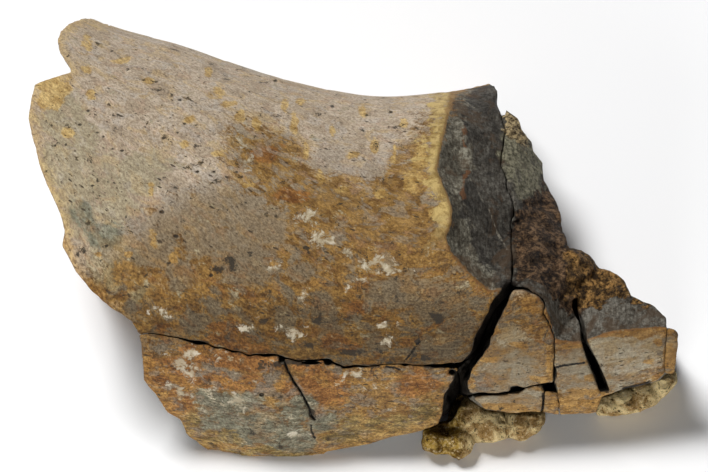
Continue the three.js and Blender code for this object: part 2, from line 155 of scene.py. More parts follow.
# Rock matrix at the foot: outline, then u, v, radius and rise of each lump, and the matrix
# that floors the wide gap
LEFT_MATRIX = [
    (20.8, 7.9), (20.5, 3), (24, 1.5), (28, 1.5), (30.5, 0), (33.5, 1.5), (35, 5), (40.5, 5),
    (45.5, 6.5), (49.5, 5.5), (53, 7.5), (55, 11), (55, 13), (45, 12.8), (38, 13.6),
    (35.5, 15.5), (33.5, 17.8), (31, 15.2), (29.3, 11.2), (27.8, 10.2), (25, 9.9), (22.4, 8.6),
]
LEFT_LUMPS = [
    (23.5, 5, 5, 4), (30.5, 4.5, 5, 4.5), (33, 12, 6, 4), (41, 9, 6, 3.5), (48, 9.5, 5, 3),
    (53, 10, 4, 2.5),
]
LEFT_BED = 3.5
GAP_FILL = [
    (27.6, 10.3), (29.1, 15.2), (30.4, 18.2), (33.6, 18.1), (34.5, 16), (33, 12), (30, 9.5),
]
GAP_FILL_BED = -5
RIGHT_MATRIX = [
    (71, 12.8), (77, 13), (83, 14), (87.5, 16), (92, 20.3), (93.4, 22.5), (93.2, 24.4),
    (90.2, 24.4), (87.9, 22.2), (83.3, 21.1), (78.2, 19.9), (72, 17.6), (71.1, 14),
]
RIGHT_LUMPS = [(74, 15, 4, 3), (79, 16.5, 4.5, 3.5), (85, 18, 4.5, 3), (90, 21.5, 4, 3)]
RIGHT_BED = 1.5

# Marks on the outer wall, as picture x, y, width and height
PALE_SPOTS = [
    (247, 160, 13, 11), (307, 216, 12, 9), (322, 239, 15, 13), (345, 254, 18, 6),
    (371, 262, 22, 13), (388, 267, 18, 12), (402, 270, 12, 7), (278, 271, 8, 8),
    (357, 284, 7, 7), (303, 296, 5, 4), (242, 141, 4, 10), (250, 327, 8, 3), (283, 325, 6, 3),
    (298, 330, 12, 10), (161, 314, 7, 4), (256, 307, 6, 4), (385, 327, 15, 4), (386, 340, 8, 8),
    (180, 362, 18, 14), (190, 351, 14, 12), (195, 369, 12, 10), (180, 391, 17, 12),
    (219, 355, 9, 6), (240, 401, 16, 15), (255, 381, 10, 5), (240, 375, 6, 5),
    (355, 373, 26, 5), (372, 386, 7, 4), (299, 437, 7, 4),
]
BROWN_ZONE = [
    (226, 126), (250, 118), (285, 130), (318, 172), (356, 186), (400, 158), (424, 118), (452, 108),
    (470, 240), (500, 290), (690, 300), (690, 475), (150, 475), (120, 320), (84, 282), (112, 256),
    (140, 236), (150, 214), (182, 196), (212, 190), (236, 178), (224, 150),
]
BROWN_PATCHES = [
    (268, 165, 80, 44), (345, 205, 120, 70), (395, 235, 110, 70), (310, 235, 60, 60),
    (410, 180, 50, 60), (330, 290, 80, 30), (170, 300, 60, 30), (290, 345, 200, 24),
    (400, 320, 60, 30), (130, 270, 30, 24), (440, 260, 40, 60), (245, 300, 60, 20),
    (380, 400, 90, 40), (430, 390, 40, 40),
]
GREY_PATCHES = [
    (216, 205, 54, 50), (204, 240, 40, 40), (333, 158, 56, 46), (372, 168, 26, 26),
    (240, 255, 60, 50), (245, 215, 40, 40), (322, 312, 26, 34), (300, 275, 34, 20),
    (283, 312, 18, 30), (398, 292, 70, 26), (428, 350, 22, 34), (378, 342, 26, 26),
    (362, 396, 30, 14), (200, 325, 40, 14), (402, 383, 24, 16), (460, 330, 24, 30),
    (270, 230, 40, 40), (330, 335, 26, 26), (165, 235, 30, 40), (185, 275, 30, 30),
    (440, 302, 60, 36), (452, 340, 30, 36), (150, 240, 50, 60), (175, 210, 50, 50),
]
TAN_PATCHES = [(512, 364, 66, 66), (575, 370, 40, 70), (612, 362, 60, 70), (505, 400, 80, 26)]
PALE_TAN_PATCHES = [(628, 352, 76, 50), (512, 335, 30, 24), (670, 350, 14, 34)]
OCHRE_PATCHES = [
    (56, 88, 30, 26), (50, 104, 22, 24), (87, 42, 12, 18), (85, 68, 16, 10), (92, 95, 10, 12),
    (207, 72, 9, 14), (215, 92, 22, 10), (228, 102, 14, 8), (240, 115, 10, 12),
    (257, 124, 10, 14), (284, 106, 8, 16), (293, 126, 8, 22), (305, 149, 6, 14),
    (353, 155, 16, 9), (374, 145, 8, 18), (394, 153, 6, 22), (321, 175, 10, 16),
    (362, 112, 8, 16), (276, 263, 12, 12), (100, 256, 12, 6), (130, 254, 10, 6),
    (155, 237, 9, 20), (175, 257, 9, 12), (217, 155, 14, 9), (151, 191, 6, 18),
    (404, 122, 10, 10), (332, 130, 8, 10), (184, 142, 12, 8), (120, 60, 20, 8),
    (165, 394, 10, 5), (355, 381, 22, 4), (69, 133, 14, 12), (413, 180, 20, 30),
    (250, 186, 12, 8), (148, 80, 12, 8), (190, 120, 14, 8), (420, 160, 16, 30), (443, 208, 16, 10),
    (300, 100, 10, 10), (340, 190, 14, 8), (380, 195, 16, 10), (262, 300, 10, 6),
    (528, 302, 18, 16), (572, 344, 24, 8), (612, 333, 56, 8), (668, 354, 14, 34),
    (490, 358, 28, 7), (538, 379, 24, 7), (549, 364, 7, 28), (480, 345, 8, 16), (642, 333, 26, 12),
    (500, 330, 22, 8), (520, 345, 20, 7), (590, 378, 14, 8), (432, 212, 10, 12),
    (584, 400, 44, 22), (562, 406, 26, 14), (505, 408, 60, 9), (657, 343, 12, 9), (647, 362, 14, 6),
]
RUST_PATCHES = [
    (155, 364, 20, 26), (292, 388, 22, 30), (330, 396, 34, 30), (215, 380, 40, 24),
    (250, 360, 60, 20), (205, 345, 50, 14), (265, 150, 40, 16), (290, 195, 30, 20),
    (180, 405, 30, 20), (340, 345, 40, 14), (420, 375, 40, 14), (230, 330, 40, 10),
    (360, 305, 20, 12), (310, 360, 40, 10), (240, 290, 14, 10), (165, 325, 20, 10),
    (175, 375, 60, 44), (230, 352, 90, 30), (165, 402, 40, 30), (325, 385, 60, 40),
    (420, 380, 50, 24), (250, 385, 50, 24),
]
SLATE_PATCHES = [
    (230, 405, 70, 24), (250, 428, 110, 34), (300, 405, 40, 26), (290, 440, 60, 24),
    (208, 398, 24, 12), (108, 236, 34, 24), (88, 215, 24, 30), (320, 425, 40, 20),
]
OLIVE_PATCHES = [
    (100, 200, 90, 110), (75, 160, 70, 60), (115, 260, 60, 50), (140, 170, 60, 50),
    (60, 120, 50, 50), (150, 290, 30, 20),
]
MOSSY_PATCHES = [
    (385, 425, 90, 26), (350, 437, 60, 16), (425, 412, 30, 24), (215, 440, 50, 16),
    (270, 452, 80, 10), (190, 425, 20, 16),
]
DARK_SMUDGES = [
    (231, 258, 11, 10), (219, 270, 16, 9), (268, 297, 10, 12), (263, 321, 11, 7),
    (324, 319, 21, 7), (438, 319, 14, 10), (308, 248, 8, 2), (425, 358, 16, 7),
    (311, 345, 10, 5), (318, 306, 6, 5), (312, 412, 7, 8), (418, 340, 10, 6), (232, 266, 6, 7),
    (296, 362, 50, 6), (205, 342, 34, 5), (375, 364, 40, 5), (262, 394, 8, 4), (440, 366, 30, 5),
    (452, 140, 3, 60), (416, 352, 8, 12), (240, 326, 20, 5), (350, 352, 14, 4), (440, 218, 13, 7),
]
PITS = [
    (163, 212, 6, 4), (177, 236, 6, 4), (170, 263, 6, 3), (212, 275, 5, 4), (215, 172, 5, 3),
    (198, 172, 5, 3), (237, 172, 4, 3), (242, 177, 4, 3), (180, 100, 5, 3), (123, 151, 5, 3),
    (114, 149, 4, 3), (89, 111, 5, 3), (53, 126, 4, 3), (56, 146, 4, 3), (67, 145, 4, 3),
    (81, 125, 5, 3), (98, 133, 4, 3), (104, 137, 4, 3), (185, 124, 4, 3), (178, 133, 4, 3),
    (94, 186, 5, 3), (108, 246, 5, 3), (275, 80, 5, 3), (283, 76, 5, 3), (332, 106, 5, 3),
    (391, 112, 5, 3), (262, 394, 6, 4), (311, 414, 5, 6),
]
FINE_CRACKS = [
    [(284, 358), (288, 369), (294, 381), (301, 391), (309, 406), (311, 414), (315, 419)],
    [(311, 424), (312, 431), (315, 438)],
    [(405, 360), (412, 351), (417, 343), (421, 340)],
    [(385, 366), (395, 367), (401, 370)],
    [(554, 367), (562, 365), (569, 364), (584, 362)],
    [(542, 393), (543, 403), (541, 413)],
    [(622, 388), (640, 384), (650, 381)],
    [(650, 385), (640, 395), (625, 410)],
]
CRACK_POCKETS = [
    (282, 359, 6, 8), (329, 361, 10, 9), (200, 342, 16, 4), (312, 362, 24, 4), (452, 371, 8, 7),
    (514, 388, 11, 7), (549, 386, 11, 9), (435, 366, 10, 3), (405, 364, 8, 4),
]

# Features of the broken face, as picture points
PALE_VEINS = [
    [(463, 99), (475, 108)], [(488, 208), (499, 240)], [(497, 232), (508, 252)],
    [(476, 188), (483, 203)],
]
RED_RIDGE = [(462, 128), (466, 145), (470, 155), (469, 165), (467, 175), (464, 185), (461, 197)]
DARK_STRIP_EDGE = [(478, 60), (468, 100)] + RED_RIDGE + [(466, 225), (480, 262), (505, 300)]
GREEN_BONE = [
    (503, 135), (520, 128), (534, 142), (542, 168), (546, 196), (532, 198), (514, 204), (505, 170),
]
SPONGY_BONE = [
    (512, 214), (530, 200), (548, 192), (575, 222), (600, 246), (640, 280), (652, 302),
    (620, 300), (590, 306), (573, 318), (561, 322), (556, 304), (542, 288), (516, 280),
]
OCHRE_BONE = [
    (566, 246), (580, 249), (606, 262), (640, 282), (655, 300), (624, 299), (600, 303),
    (582, 307), (566, 296), (562, 270),
]
GRAIN_CRUST = [
    (504, 102), (512, 110), (524, 124), (530, 138), (526, 152), (514, 142), (503, 130),
]


def place(u, v, w):
    """World position of a point in the leaning plane, before the part is centred."""
    return u, v * LEAN_SIN - w * LEAN_COS, v * LEAN_COS + w * LEAN_SIN


def from_picture(px, py):
    u = (px - PICTURE_MIDDLE_X) * MM_PER_PIXEL
    v = (PICTURE_FOOT_Y - py) * MM_PER_PIXEL
    return u, v


def smoothstep(value, low, high):
    t = np.clip((value - low) / (high - low), 0, 1)
    return t * t * (3 - 2 * t)


def blend_max(a, b, radius):
    """The larger of two fields, with their meeting edge rounded to about the radius."""
    mix = np.clip(0.5 + (a - b) / (2 * radius), 0, 1)
    return b + (a - b) * mix + radius * mix * (1 - mix)


def along_shaft(values, x):
    """Smooth value between evenly spaced stations."""
    values = np.array(values, np.float32)
    last = len(values) - 1
    position = np.clip((x - FIRST_STATION) / STATION_STEP, 0, last - 1e-4)
    index = position.astype(int)
    t = position - index
    before = values[np.maximum(index - 1, 0)]
    start = values[index]
    end = values[index + 1]
    after = values[np.minimum(index + 2, last)]
    start_slope = (end - before) / 2
    end_slope = (after - start) / 2
    cubic = 2 * (start - end) + start_slope + end_slope
    square = 3 * (end - start) - 2 * start_slope - end_slope
    return ((cubic * t + square) * t + start_slope) * t + start


def section_at(x):
    """Crest place, crest height and the reach of the near and far sides of the shaft."""
    foot = along_shaft(NEAR_FOOT, x) / LEAN_SIN
    crest = along_shaft(CREST_PLACE, x)
    height = along_shaft(CREST_HEIGHT, x)
    rim = along_shaft(FAR_RIM, x) - crest * LEAN_SIN
    far = np.sqrt(rim ** 2 - (height * LEAN_COS) ** 2) / LEAN_SIN
    return crest, height, crest - foot, far


def section_level(section, v, w):
    """Below 1 inside the shaft's cross-section, above 1 outside."""
    crest, height, near, far = section
    _, y, z = place(0, v, w)
    is_near = y < crest
    fullness = np.where(is_near, NEAR_FULLNESS, FAR_FULLNESS)
    across = np.abs(y - crest) / np.where(is_near, near, far)
    up = np.abs(z) / height
    return (across ** fullness + up ** fullness) ** (1 / fullness)


def distance_to_line(line, u, v):
    """Distance to an open line, positive on its left side."""
    best = np.full(u.shape, 1e9, np.float32)
    side = np.ones(u.shape, np.float32)
    for (u0, v0), (u1, v1) in zip(line, line[1:]):
        run = (u1 - u0, v1 - v0)
        length = run[0] ** 2 + run[1] ** 2
        t = np.clip(((u - u0) * run[0] + (v - v0) * run[1]) / length, 0, 1)
        gap = (u - u0 - t * run[0]) ** 2 + (v - v0 - t * run[1]) ** 2
        closer = gap < best
        best = np.where(closer, gap, best)
        turn = run[0] * (v - v0) - run[1] * (u - u0)
        side = np.where(closer, np.where(turn > 0, 1, -1), side)
    return np.sqrt(best) * side


def distance_to_outline(outline, u, v):
    """Signed distance to a closed outline, negative inside."""
    inside = np.zeros(u.shape, bool)
    closed = list(outline) + [outline[0]]
    for (u0, v0), (u1, v1) in zip(closed, closed[1:]):
        spans = (v0 > v) != (v1 > v)
        rise = v1 - v0 if v1 != v0 else 1e-9
        inside ^= spans & (u < (u1 - u0) * (v - v0) / rise + u0)
    distance = np.abs(distance_to_line(closed, u, v))
    return np.where(inside, -distance, distance)


class PlaneMap:
    """A field sampled over the leaning plane, read back between its samples."""

    STEP = 0.5
    LOW = (-100.0, -12.0)
    HIGH = (100.0, 136.0)

    def __init__(self, function):
        us = np.arange(self.LOW[0], self.HIGH[0], self.STEP, dtype=np.float32)
        vs = np.arange(self.LOW[1], self.HIGH[1], self.STEP, dtype=np.float32)
        u, v = np.meshgrid(us, vs, indexing="ij")
        self.samples = function(u, v).astype(np.float32)

    def __call__(self, u, v):
        rows, columns = self.samples.shape
        a = np.clip((u - self.LOW[0]) / self.STEP, 0, rows - 1.001)
        b = np.clip((v - self.LOW[1]) / self.STEP, 0, columns - 1.001)
        i = a.astype(np.int32)
        j = b.astype(np.int32)
        a = a - i
        b = b - j
        low = self.samples[i, j] * (1 - a) + self.samples[i + 1, j] * a
        high = self.samples[i, j + 1] * (1 - a) + self.samples[i + 1, j + 1] * a
        return low * (1 - b) + high * b


LATTICE_SIZE = 64
LATTICE_SEED = 7
LAYER_TURN = 0.6
dice = np.random.default_rng(LATTICE_SEED)
lattice = dice.random((LATTICE_SIZE,) * 3, dtype=np.float32) * 2 - 1


def value_noise(a, b, c):
    """Smooth random value between -1 and 1 that changes over about one unit."""
    corners = []
    fades = []
    for axis in (a, b, c):
        floor = np.floor(axis)
        t = (axis - floor).astype(np.float32)
        fades.append(t * t * (3 - 2 * t))
        low = floor.astype(np.int32) & (LATTICE_SIZE - 1)
        corners.append((low, (low + 1) & (LATTICE_SIZE - 1)))
    (x0, x1), (y0, y1), (z0, z1) = corners
    fx, fy, fz = fades

    def face(z):
        near = lattice[x0, y0, z] * (1 - fx) + lattice[x1, y0, z] * fx
        far = lattice[x0, y1, z] * (1 - fx) + lattice[x1, y1, z] * fx
        return near * (1 - fy) + far * fy

    return face(z0) * (1 - fz) + face(z1) * fz


def layered_noise(a, b, c, size, layers, seed, falloff=0.5):
    """Sum of value noises, each half the size of the one before."""
    total = 0
    weight = 1
    whole = 0
    turn_cos = math.cos(LAYER_TURN)
    turn_sin = math.sin(LAYER_TURN)
    for layer in range(layers):
        offset = seed * 17.3 + layer * 5.7
        noise = value_noise(a / size + offset, b / size - offset, c / size + 2 * offset)
        total = total + weight * noise
        whole += weight
        weight *= falloff
        size /= 2
        a, b = a * turn_cos - b * turn_sin, a * turn_sin + b * turn_cos
        b, c = b * turn_cos - c * turn_sin, b * turn_sin + c * turn_cos
    return total / whole


def find_outer_wall(u, v):
    """Height w of the shaft's outer wall over the leaning plane."""
    section = section_at(u)
    low = np.full(u.shape, LOWEST_WALL, np.float32)
    high = np.full(u.shape, HIGHEST_WALL, np.float32)
    for _ in range(WALL_PEAK_STEPS):
        third = (high - low) / 3
        rising = section_level(section, v, low + third) < section_level(section, v, high - third)
        low, high = np.where(rising, low, low + third), np.where(rising, high - third, high)
    inside = low
    outside = np.full(u.shape, HIGHEST_WALL, np.float32)
    for _ in range(WALL_EDGE_STEPS):
        middle = (inside + outside) / 2
        is_in = section_level(section, v, middle) < 1
        inside, outside = np.where(is_in, middle, inside), np.where(is_in, outside, middle)
    return inside


def gap_outline(rows):
    left = [(u_left, v) for v, u_left, u_right in rows]
    right = [(u_right, v) for v, u_left, u_right in rows]
    return left + right[::-1]


def moved(line, du, dv):
    return [(u + du, v + dv) for u, v in line]


def region_outlines():
    """Outline in the leaning plane of each bone fragment's share of the shaft."""
    half = CRACK_HALF_WIDTH
    upper_shaft = [(BEYOND_LEFT, BEYOND_TOP), (BEYOND_LEFT, 36.3)]
    upper_shaft += moved(LONG_CRACK, 0, half)[:-1]
    upper_shaft += moved(UPRIGHT_CRACK, -half, 0)[1:]
    upper_shaft += [(44, BEYOND_TOP)]
    lower_wall = [(BEYOND_LEFT, BEYOND_FOOT), (BEYOND_LEFT, 35.7)]
    lower_wall += moved(LONG_CRACK, 0, -half)[:-1]
    lower_wall += moved(LOWER_CRACK, -half, 0)
    lower_wall += [(24.8, 10.2), (22.3, 8.9), (20.2, 8.3), (20.2, BEYOND_FOOT)]
    right_block = moved(UPRIGHT_CRACK, half, 0)[6:]
    right_block += [(44.6, BEYOND_TOP), (BEYOND_RIGHT, BEYOND_TOP), (BEYOND_RIGHT, 38.9)]
    right_block += [(91.2, 38.9)]
    right_block += LOW_WALL_FOOT[::-1]
    right_block += moved(WEDGE_CHIP, 0.5, 0.35)[1:6][::-1]
    wedge_chip = list(WEDGE_CHIP)
    wedge_chip += moved(LOWER_CRACK, half, 0)[1:2]
    wedge_chip += moved(UPRIGHT_CRACK, half, 0)[:6]
    return {
        "upper_shaft": upper_shaft,
        "lower_wall": lower_wall,
        "right_block": right_block,
        "wedge_chip": wedge_chip,
        "strip_chip": STRIP_CHIP,
        "corner_chip": CORNER_CHIP,
        "end_flake": END_FLAKE,
    }


def picture_line(points):
    return [from_picture(*point) for point in points]


def line_map(line):
    return PlaneMap(lambda u, v: distance_to_line(line, u, v))


def outline_map(outline):
    return PlaneMap(lambda u, v: distance_to_outline(outline, u, v))


def nearest_map(lines):
    """Distance to the nearest of several lines of the picture."""
    def nearest(u, v):
        return np.min([np.abs(distance_to_line(picture_line(line), u, v)) for line in lines], axis=0)
    return PlaneMap(nearest)


outer_wall_map = PlaneMap(find_outer_wall)
edge_map = outline_map(OUTLINE)
break_map = line_map(BREAK_EDGE)
wide_gap_map = outline_map(gap_outline(WIDE_GAP))
narrow_gap_map = outline_map(gap_outline(NARROW_GAP))
long_crack_map = line_map(LONG_CRACK)
shaft_side_map = line_map(LONG_CRACK + UPRIGHT_CRACK[1:])
strip_map = PlaneMap(lambda u, v: -distance_to_line(picture_line(DARK_STRIP_EDGE), u, v))
hairline_map = nearest_map(FINE_CRACKS)
groove_map = nearest_map(FINE_CRACKS[:1])
vein_map = nearest_map(PALE_VEINS)
ridge_map = nearest_map([RED_RIDGE])
spongy_map = outline_map(picture_line(SPONGY_BONE))
ochre_bone_map = outline_map(picture_line(OCHRE_BONE))
crust_map = outline_map(picture_line(GRAIN_CRUST))
green_map = outline_map(picture_line(GREEN_BONE))
brown_zone_map = outline_map(picture_line(BROWN_ZONE))
left_matrix_map = outline_map(LEFT_MATRIX)
right_matrix_map = outline_map(RIGHT_MATRIX)
gap_fill_map = outline_map(GAP_FILL)


SPOT_REACH = 6


def spot_shares(spots, u, v):
    """For each spot, the distance from its middle as a share of its size, and that size."""
    for px, py, width, height in spots:
        spot_u, spot_v = from_picture(px, py)
        half_u = width * MM_PER_PIXEL / 2
        half_v = height * MM_PER_PIXEL / 2
        share = np.sqrt(((u - spot_u) / half_u) ** 2 + ((v - spot_v) / half_v) ** 2)
        yield share, half_u + half_v


def spot_distance(spots, u, v):
    """Distance outside the nearest spot's edge, in millimetres, negative inside it."""
    best = np.full(u.shape, SPOT_REACH, np.float32)
    for share, size in spot_shares(spots, u, v):
        best = np.minimum(best, (share - 1) * size / 2)
    return best


def patch_share(patches, u, v):
    """1 inside the patches and 0 well outside, with soft edges."""
    best = np.zeros(u.shape, np.float32)
    for share, _ in spot_shares(patches, u, v):
        best = np.maximum(best, smoothstep(-share, -1.5, -0.5))
    return best


def spot_map(spots):
    return PlaneMap(lambda u, v: spot_distance(spots, u, v))


pocket_map = spot_map(CRACK_POCKETS)
pale_map = spot_map(PALE_SPOTS)
pit_map = spot_map(PITS)

# Patches of colour, and how far their outlines wander in millimetres
PATCHES = {
    "brown_patch": (BROWN_PATCHES, 3.0),
    "grey_patch": (GREY_PATCHES, 2.5),
    "tan_patch": (TAN_PATCHES, 1.0),
    "pale_tan_patch": (PALE_TAN_PATCHES, 1.0),
    "ochre_patch": (OCHRE_PATCHES, 1.0),
    "rust_patch": (RUST_PATCHES, 2.2),
    "slate_patch": (SLATE_PATCHES, 2.2),
    "olive_patch": (OLIVE_PATCHES, 3.0),
    "mossy_patch": (MOSSY_PATCHES, 2.2),
    "dark_smudge": (DARK_SMUDGES, 0.8),
}


def patch_map(patches, stray):
    """Map of patches whose outlines wander by the given stray, in millimetres."""
    def share(u, v):
        flat = np.zeros_like(u)
        stray_u = stray * 1.6 * layered_noise(u, v, flat, 4 * stray + 2, 3, 14)
        stray_v = stray * 1.6 * layered_noise(u, v, flat, 4 * stray + 2, 3, 15)
        return patch_share(patches, u + stray_u, v + stray_v)
    return PlaneMap(share)


patch_maps = {name: patch_map(*settings) for name, settings in PATCHES.items()}


LEAST_LEVEL = 1e-3


def outer_depth(u, v, w):
    """Rough depth below the shaft's outer wall, negative outside it."""
    section = section_at(u)
    _, y, z = place(0, v, w)
    level = section_level(section, v, w)
    radius = np.sqrt((y - section[0]) ** 2 + z ** 2)
    return radius / np.maximum(level, LEAST_LEVEL) - radius


def skin_relief(u, v, w):
    """Swells, grain ridges and flaked patches on the outer wall."""
    swells = 0.55 * layered_noise(u, v, w, 26, 2, 1)
    grain = 0.16 * layered_noise(u / 5, v, w, 2.6, 2, 2)
    flakes = 0.3 * smoothstep(layered_noise(u / 1.6, v, w, 9, 3, 3), 0.08, 0.2)
    return swells + grain - flakes


def broken_relief(u, v):
    """Lumps, ridge and pores of the broken face, over the leaning plane."""
    flat = np.zeros_like(u)
    lumps = 1.5 * layered_noise(u, v, flat, 12, 2, 8) + 0.6 * layered_noise(u, v, flat, 3.5, 3, 9)
    ridge = 1.5 * np.exp(-(ridge_map(u, v) / 1.6) ** 2)
    ragged = 1.2 * layered_noise(u, v, flat, 4, 2, 16)
    spongy = smoothstep(-(spongy_map(u, v) + ragged), -0.8, 0.8)
    pores = smoothstep(layered_noise(u, v, flat, 2.1, 2, 17), -0.1, 0.4)
    ochre = smoothstep(-(ochre_bone_map(u, v) + ragged), -1, 1.5)
    heap = ochre * (1.8 + 2.6 * layered_noise(u, v, flat, 4, 3, 18, 0.7))
    crust = smoothstep(-(crust_map(u, v) + ragged), -1, 1)
    grains = crust * (0.5 + 1.3 * layered_noise(u, v, flat, 2, 2, 19))
    return lumps + ridge + heap + grains - 1.5 * spongy * pores


relief_map = PlaneMap(broken_relief)


GAP_DEPTH_SHARE = 0.75
GAP_DEPTH_RANGE = (2, 26)
GAP_TAPER = 2.5


def gap_closing(v, surface_w, depth):
    """Share by which an opening has closed, slow at first and shut before the ground."""
    ground_w = -v * LEAN_COS / LEAN_SIN
    limit = np.clip(GAP_DEPTH_SHARE * (surface_w - ground_w), *GAP_DEPTH_RANGE)
    return (np.maximum(depth, 0) / limit) ** GAP_TAPER


def above_ground(field, v, w):
    return np.maximum(field, -place(0, v, w)[2])


# How far the cracks stray at the skin and deep inside, and how far down that change reaches
SKIN_STRAY = 0.12
INNER_STRAY = 1.6
BURIED_DEPTH = 10
PIT_DEPTH = 1.1
CUT_TAPER = 0.12
GROOVE_HALF_WIDTH = 0.46


def bone_field(u, v, w, region):
    """Negative inside a bone fragment, in millimetres."""
    surface_w = outer_wall_map(u, v)
    depth = surface_w - w
    buried = smoothstep(depth, 0, BURIED_DEPTH)
    behind = break_map(u, v)
    fall = BREAK_FALL + (BREAK_FALL_LOW_WALL - BREAK_FALL) * smoothstep(u, 45, 60)
    ledge = BREAK_LEDGE * (1 - np.exp(-np.maximum(behind, 0) / BREAK_LEDGE_RUN))
    face_depth = fall * behind + ledge
    stray = SKIN_STRAY + INNER_STRAY * buried
    plane_u = u + layered_noise(u, v, w, 9, 2, 4) * stray
    plane_v = v + layered_noise(u, v, w, 9, 2, 5) * stray
    ragged = layered_noise(u, v, w, 3.2, 2, 6)

    skin = skin_relief(u, v, w) - outer_depth(u, v, w)
    skin = skin + PIT_DEPTH * smoothstep(-pit_map(u, v), -0.3, 0.6)

    block_share = smoothstep(u, 43.6, 44.6)
    side_depth = np.maximum(depth - np.maximum(face_depth, 0) * block_share, 0)
    dips = SIDE_ROUGHNESS * (0.5 + 0.5 * layered_noise(u, v, w, 13, 3, 7))
    dips = dips * smoothstep(side_depth, 0, BURIED_DEPTH)
    side = edge_map(u + 0.3 * ragged, v + 0.3 * ragged) + SIDE_LEAN * side_depth + dips

    relief = smoothstep(behind, 0.5, 4) * relief_map(u, v)
    broken = (face_depth - depth - relief) * 0.75

    chipping = 0.42 * smoothstep(layered_noise(u, v, w, 6, 2, 20), 0.05, 0.6) - 0.19
    wear = 0.12 * np.exp(-(long_crack_map(u, v) / 2) ** 2)
    wear = wear * smoothstep(u, -56, -46) * smoothstep(-u, 0, 8)
    jag = 0.45 * layered_noise(u, v, w, 2.4, 2, 22)
    region_side = region(plane_u + jag, plane_v + jag) + chipping + wear
    closing = gap_closing(v, surface_w, side_depth)
    gap = -(wide_gap_map(plane_u + 1.5 * jag, plane_v) + 2.6 * closing)
    notch = -(narrow_gap_map(plane_u, plane_v) + 1.7 * closing)
    taper = CUT_TAPER * np.maximum(depth, 0)
    groove = GROOVE_HALF_WIDTH - groove_map(plane_u, plane_v) - taper
    pocket = -pocket_map(plane_u, plane_v) - taper

    field = skin
    for cut, rounding in (
        (side, 0.5), (broken, 0.3), (region_side, 0.22), (gap, 0.35), (notch, 0.35),
        (groove, 0.3), (pocket, 0.3),
    ):
        field = blend_max(field, cut, rounding)
    return above_ground(field, v, w)


def matrix_body(u, v, w, region, lumps, bed):
    """Negative inside a crust of lumpy rock matrix, in millimetres."""
    rise = np.zeros(u.shape, np.float32)
    for lump_u, lump_v, radius, height in lumps:
        share = ((u - lump_u) ** 2 + (v - lump_v) ** 2) / radius ** 2
        rise = np.maximum(rise, height * np.maximum(0, 1 - share))
    grains = 1.3 * layered_noise(u, v, w, 4.5, 2, 10)
    beads = 0.9 * (0.5 - np.abs(layered_noise(u, v, w, 2.6, 2, 21)) * 2)
    side = region(u, v) - 0.5 + 0.7 * layered_noise(u, v, w, 3.5, 3, 11)
    return blend_max((w - bed - rise - grains - beads) * 0.8, side - 0.3 * beads, 1.2)


def left_matrix_field(u, v, w):
    lumps = matrix_body(u, v, w, left_matrix_map, LEFT_LUMPS, LEFT_BED)
    fill = matrix_body(u, v, w, gap_fill_map, [], GAP_FILL_BED)
    return above_ground(np.minimum(lumps, fill), v, w)


def right_matrix_field(u, v, w):
    return above_ground(matrix_body(u, v, w, right_matrix_map, RIGHT_LUMPS, RIGHT_BED), v, w)


# Meshing

GRID_STRIDE = 4
SURFACE_BAND = 5.0
BOX_MARGIN = 2.5
CELL_CORNERS = list(itertools.product((0, 1), repeat=3))


def cell_corners(samples):
    """The samples at the eight corners of each grid cell."""
    across, up, out = [count - 1 for count in samples.shape]
    return np.stack([samples[i:i + across, j:j + up, k:k + out] for i, j, k in CELL_CORNERS])


def sampled(function, low, high, step):
    """Samples a field on a grid, in full only near the surface."""
    stride = GRID_STRIDE
    band = SURFACE_BAND
    shape = [int(math.ceil((high[i] - low[i]) / (step * stride))) + 1 for i in range(3)]
    axes = [low[i] + np.arange(shape[i], dtype=np.float32) * step * stride for i in range(3)]
    u, v, w = np.meshgrid(*axes, indexing="ij")
    rough = function(u.ravel(), v.ravel(), w.ravel()).reshape(u.shape)
    fine_shape = [(count - 1) * stride + 1 for count in shape]
    field = np.full(fine_shape, band, np.float32)
    corners = cell_corners(rough)
    near = (np.abs(corners) < band).any(0)
    cells = near | ((corners < 0).any(0) & (corners > 0).any(0))
    fill = np.where(corners.mean(0) < 0, -band, band)
    field[:-1, :-1, :-1] = fill.repeat(stride, 0).repeat(stride, 1).repeat(stride, 2)
    offsets = np.indices((stride + 1,) * 3).reshape(3, 1, -1)
    samples = (np.argwhere(cells).T[:, :, None] * stride + offsets).reshape(3, -1)
    flat = np.unique(np.ravel_multi_index(tuple(samples), fine_shape))
    index = np.unravel_index(flat, fine_shape)
    u, v, w = [low[n] + index[n].astype(np.float32) * step for n in range(3)]
    field.ravel()[flat] = function(u, v, w)
    return field


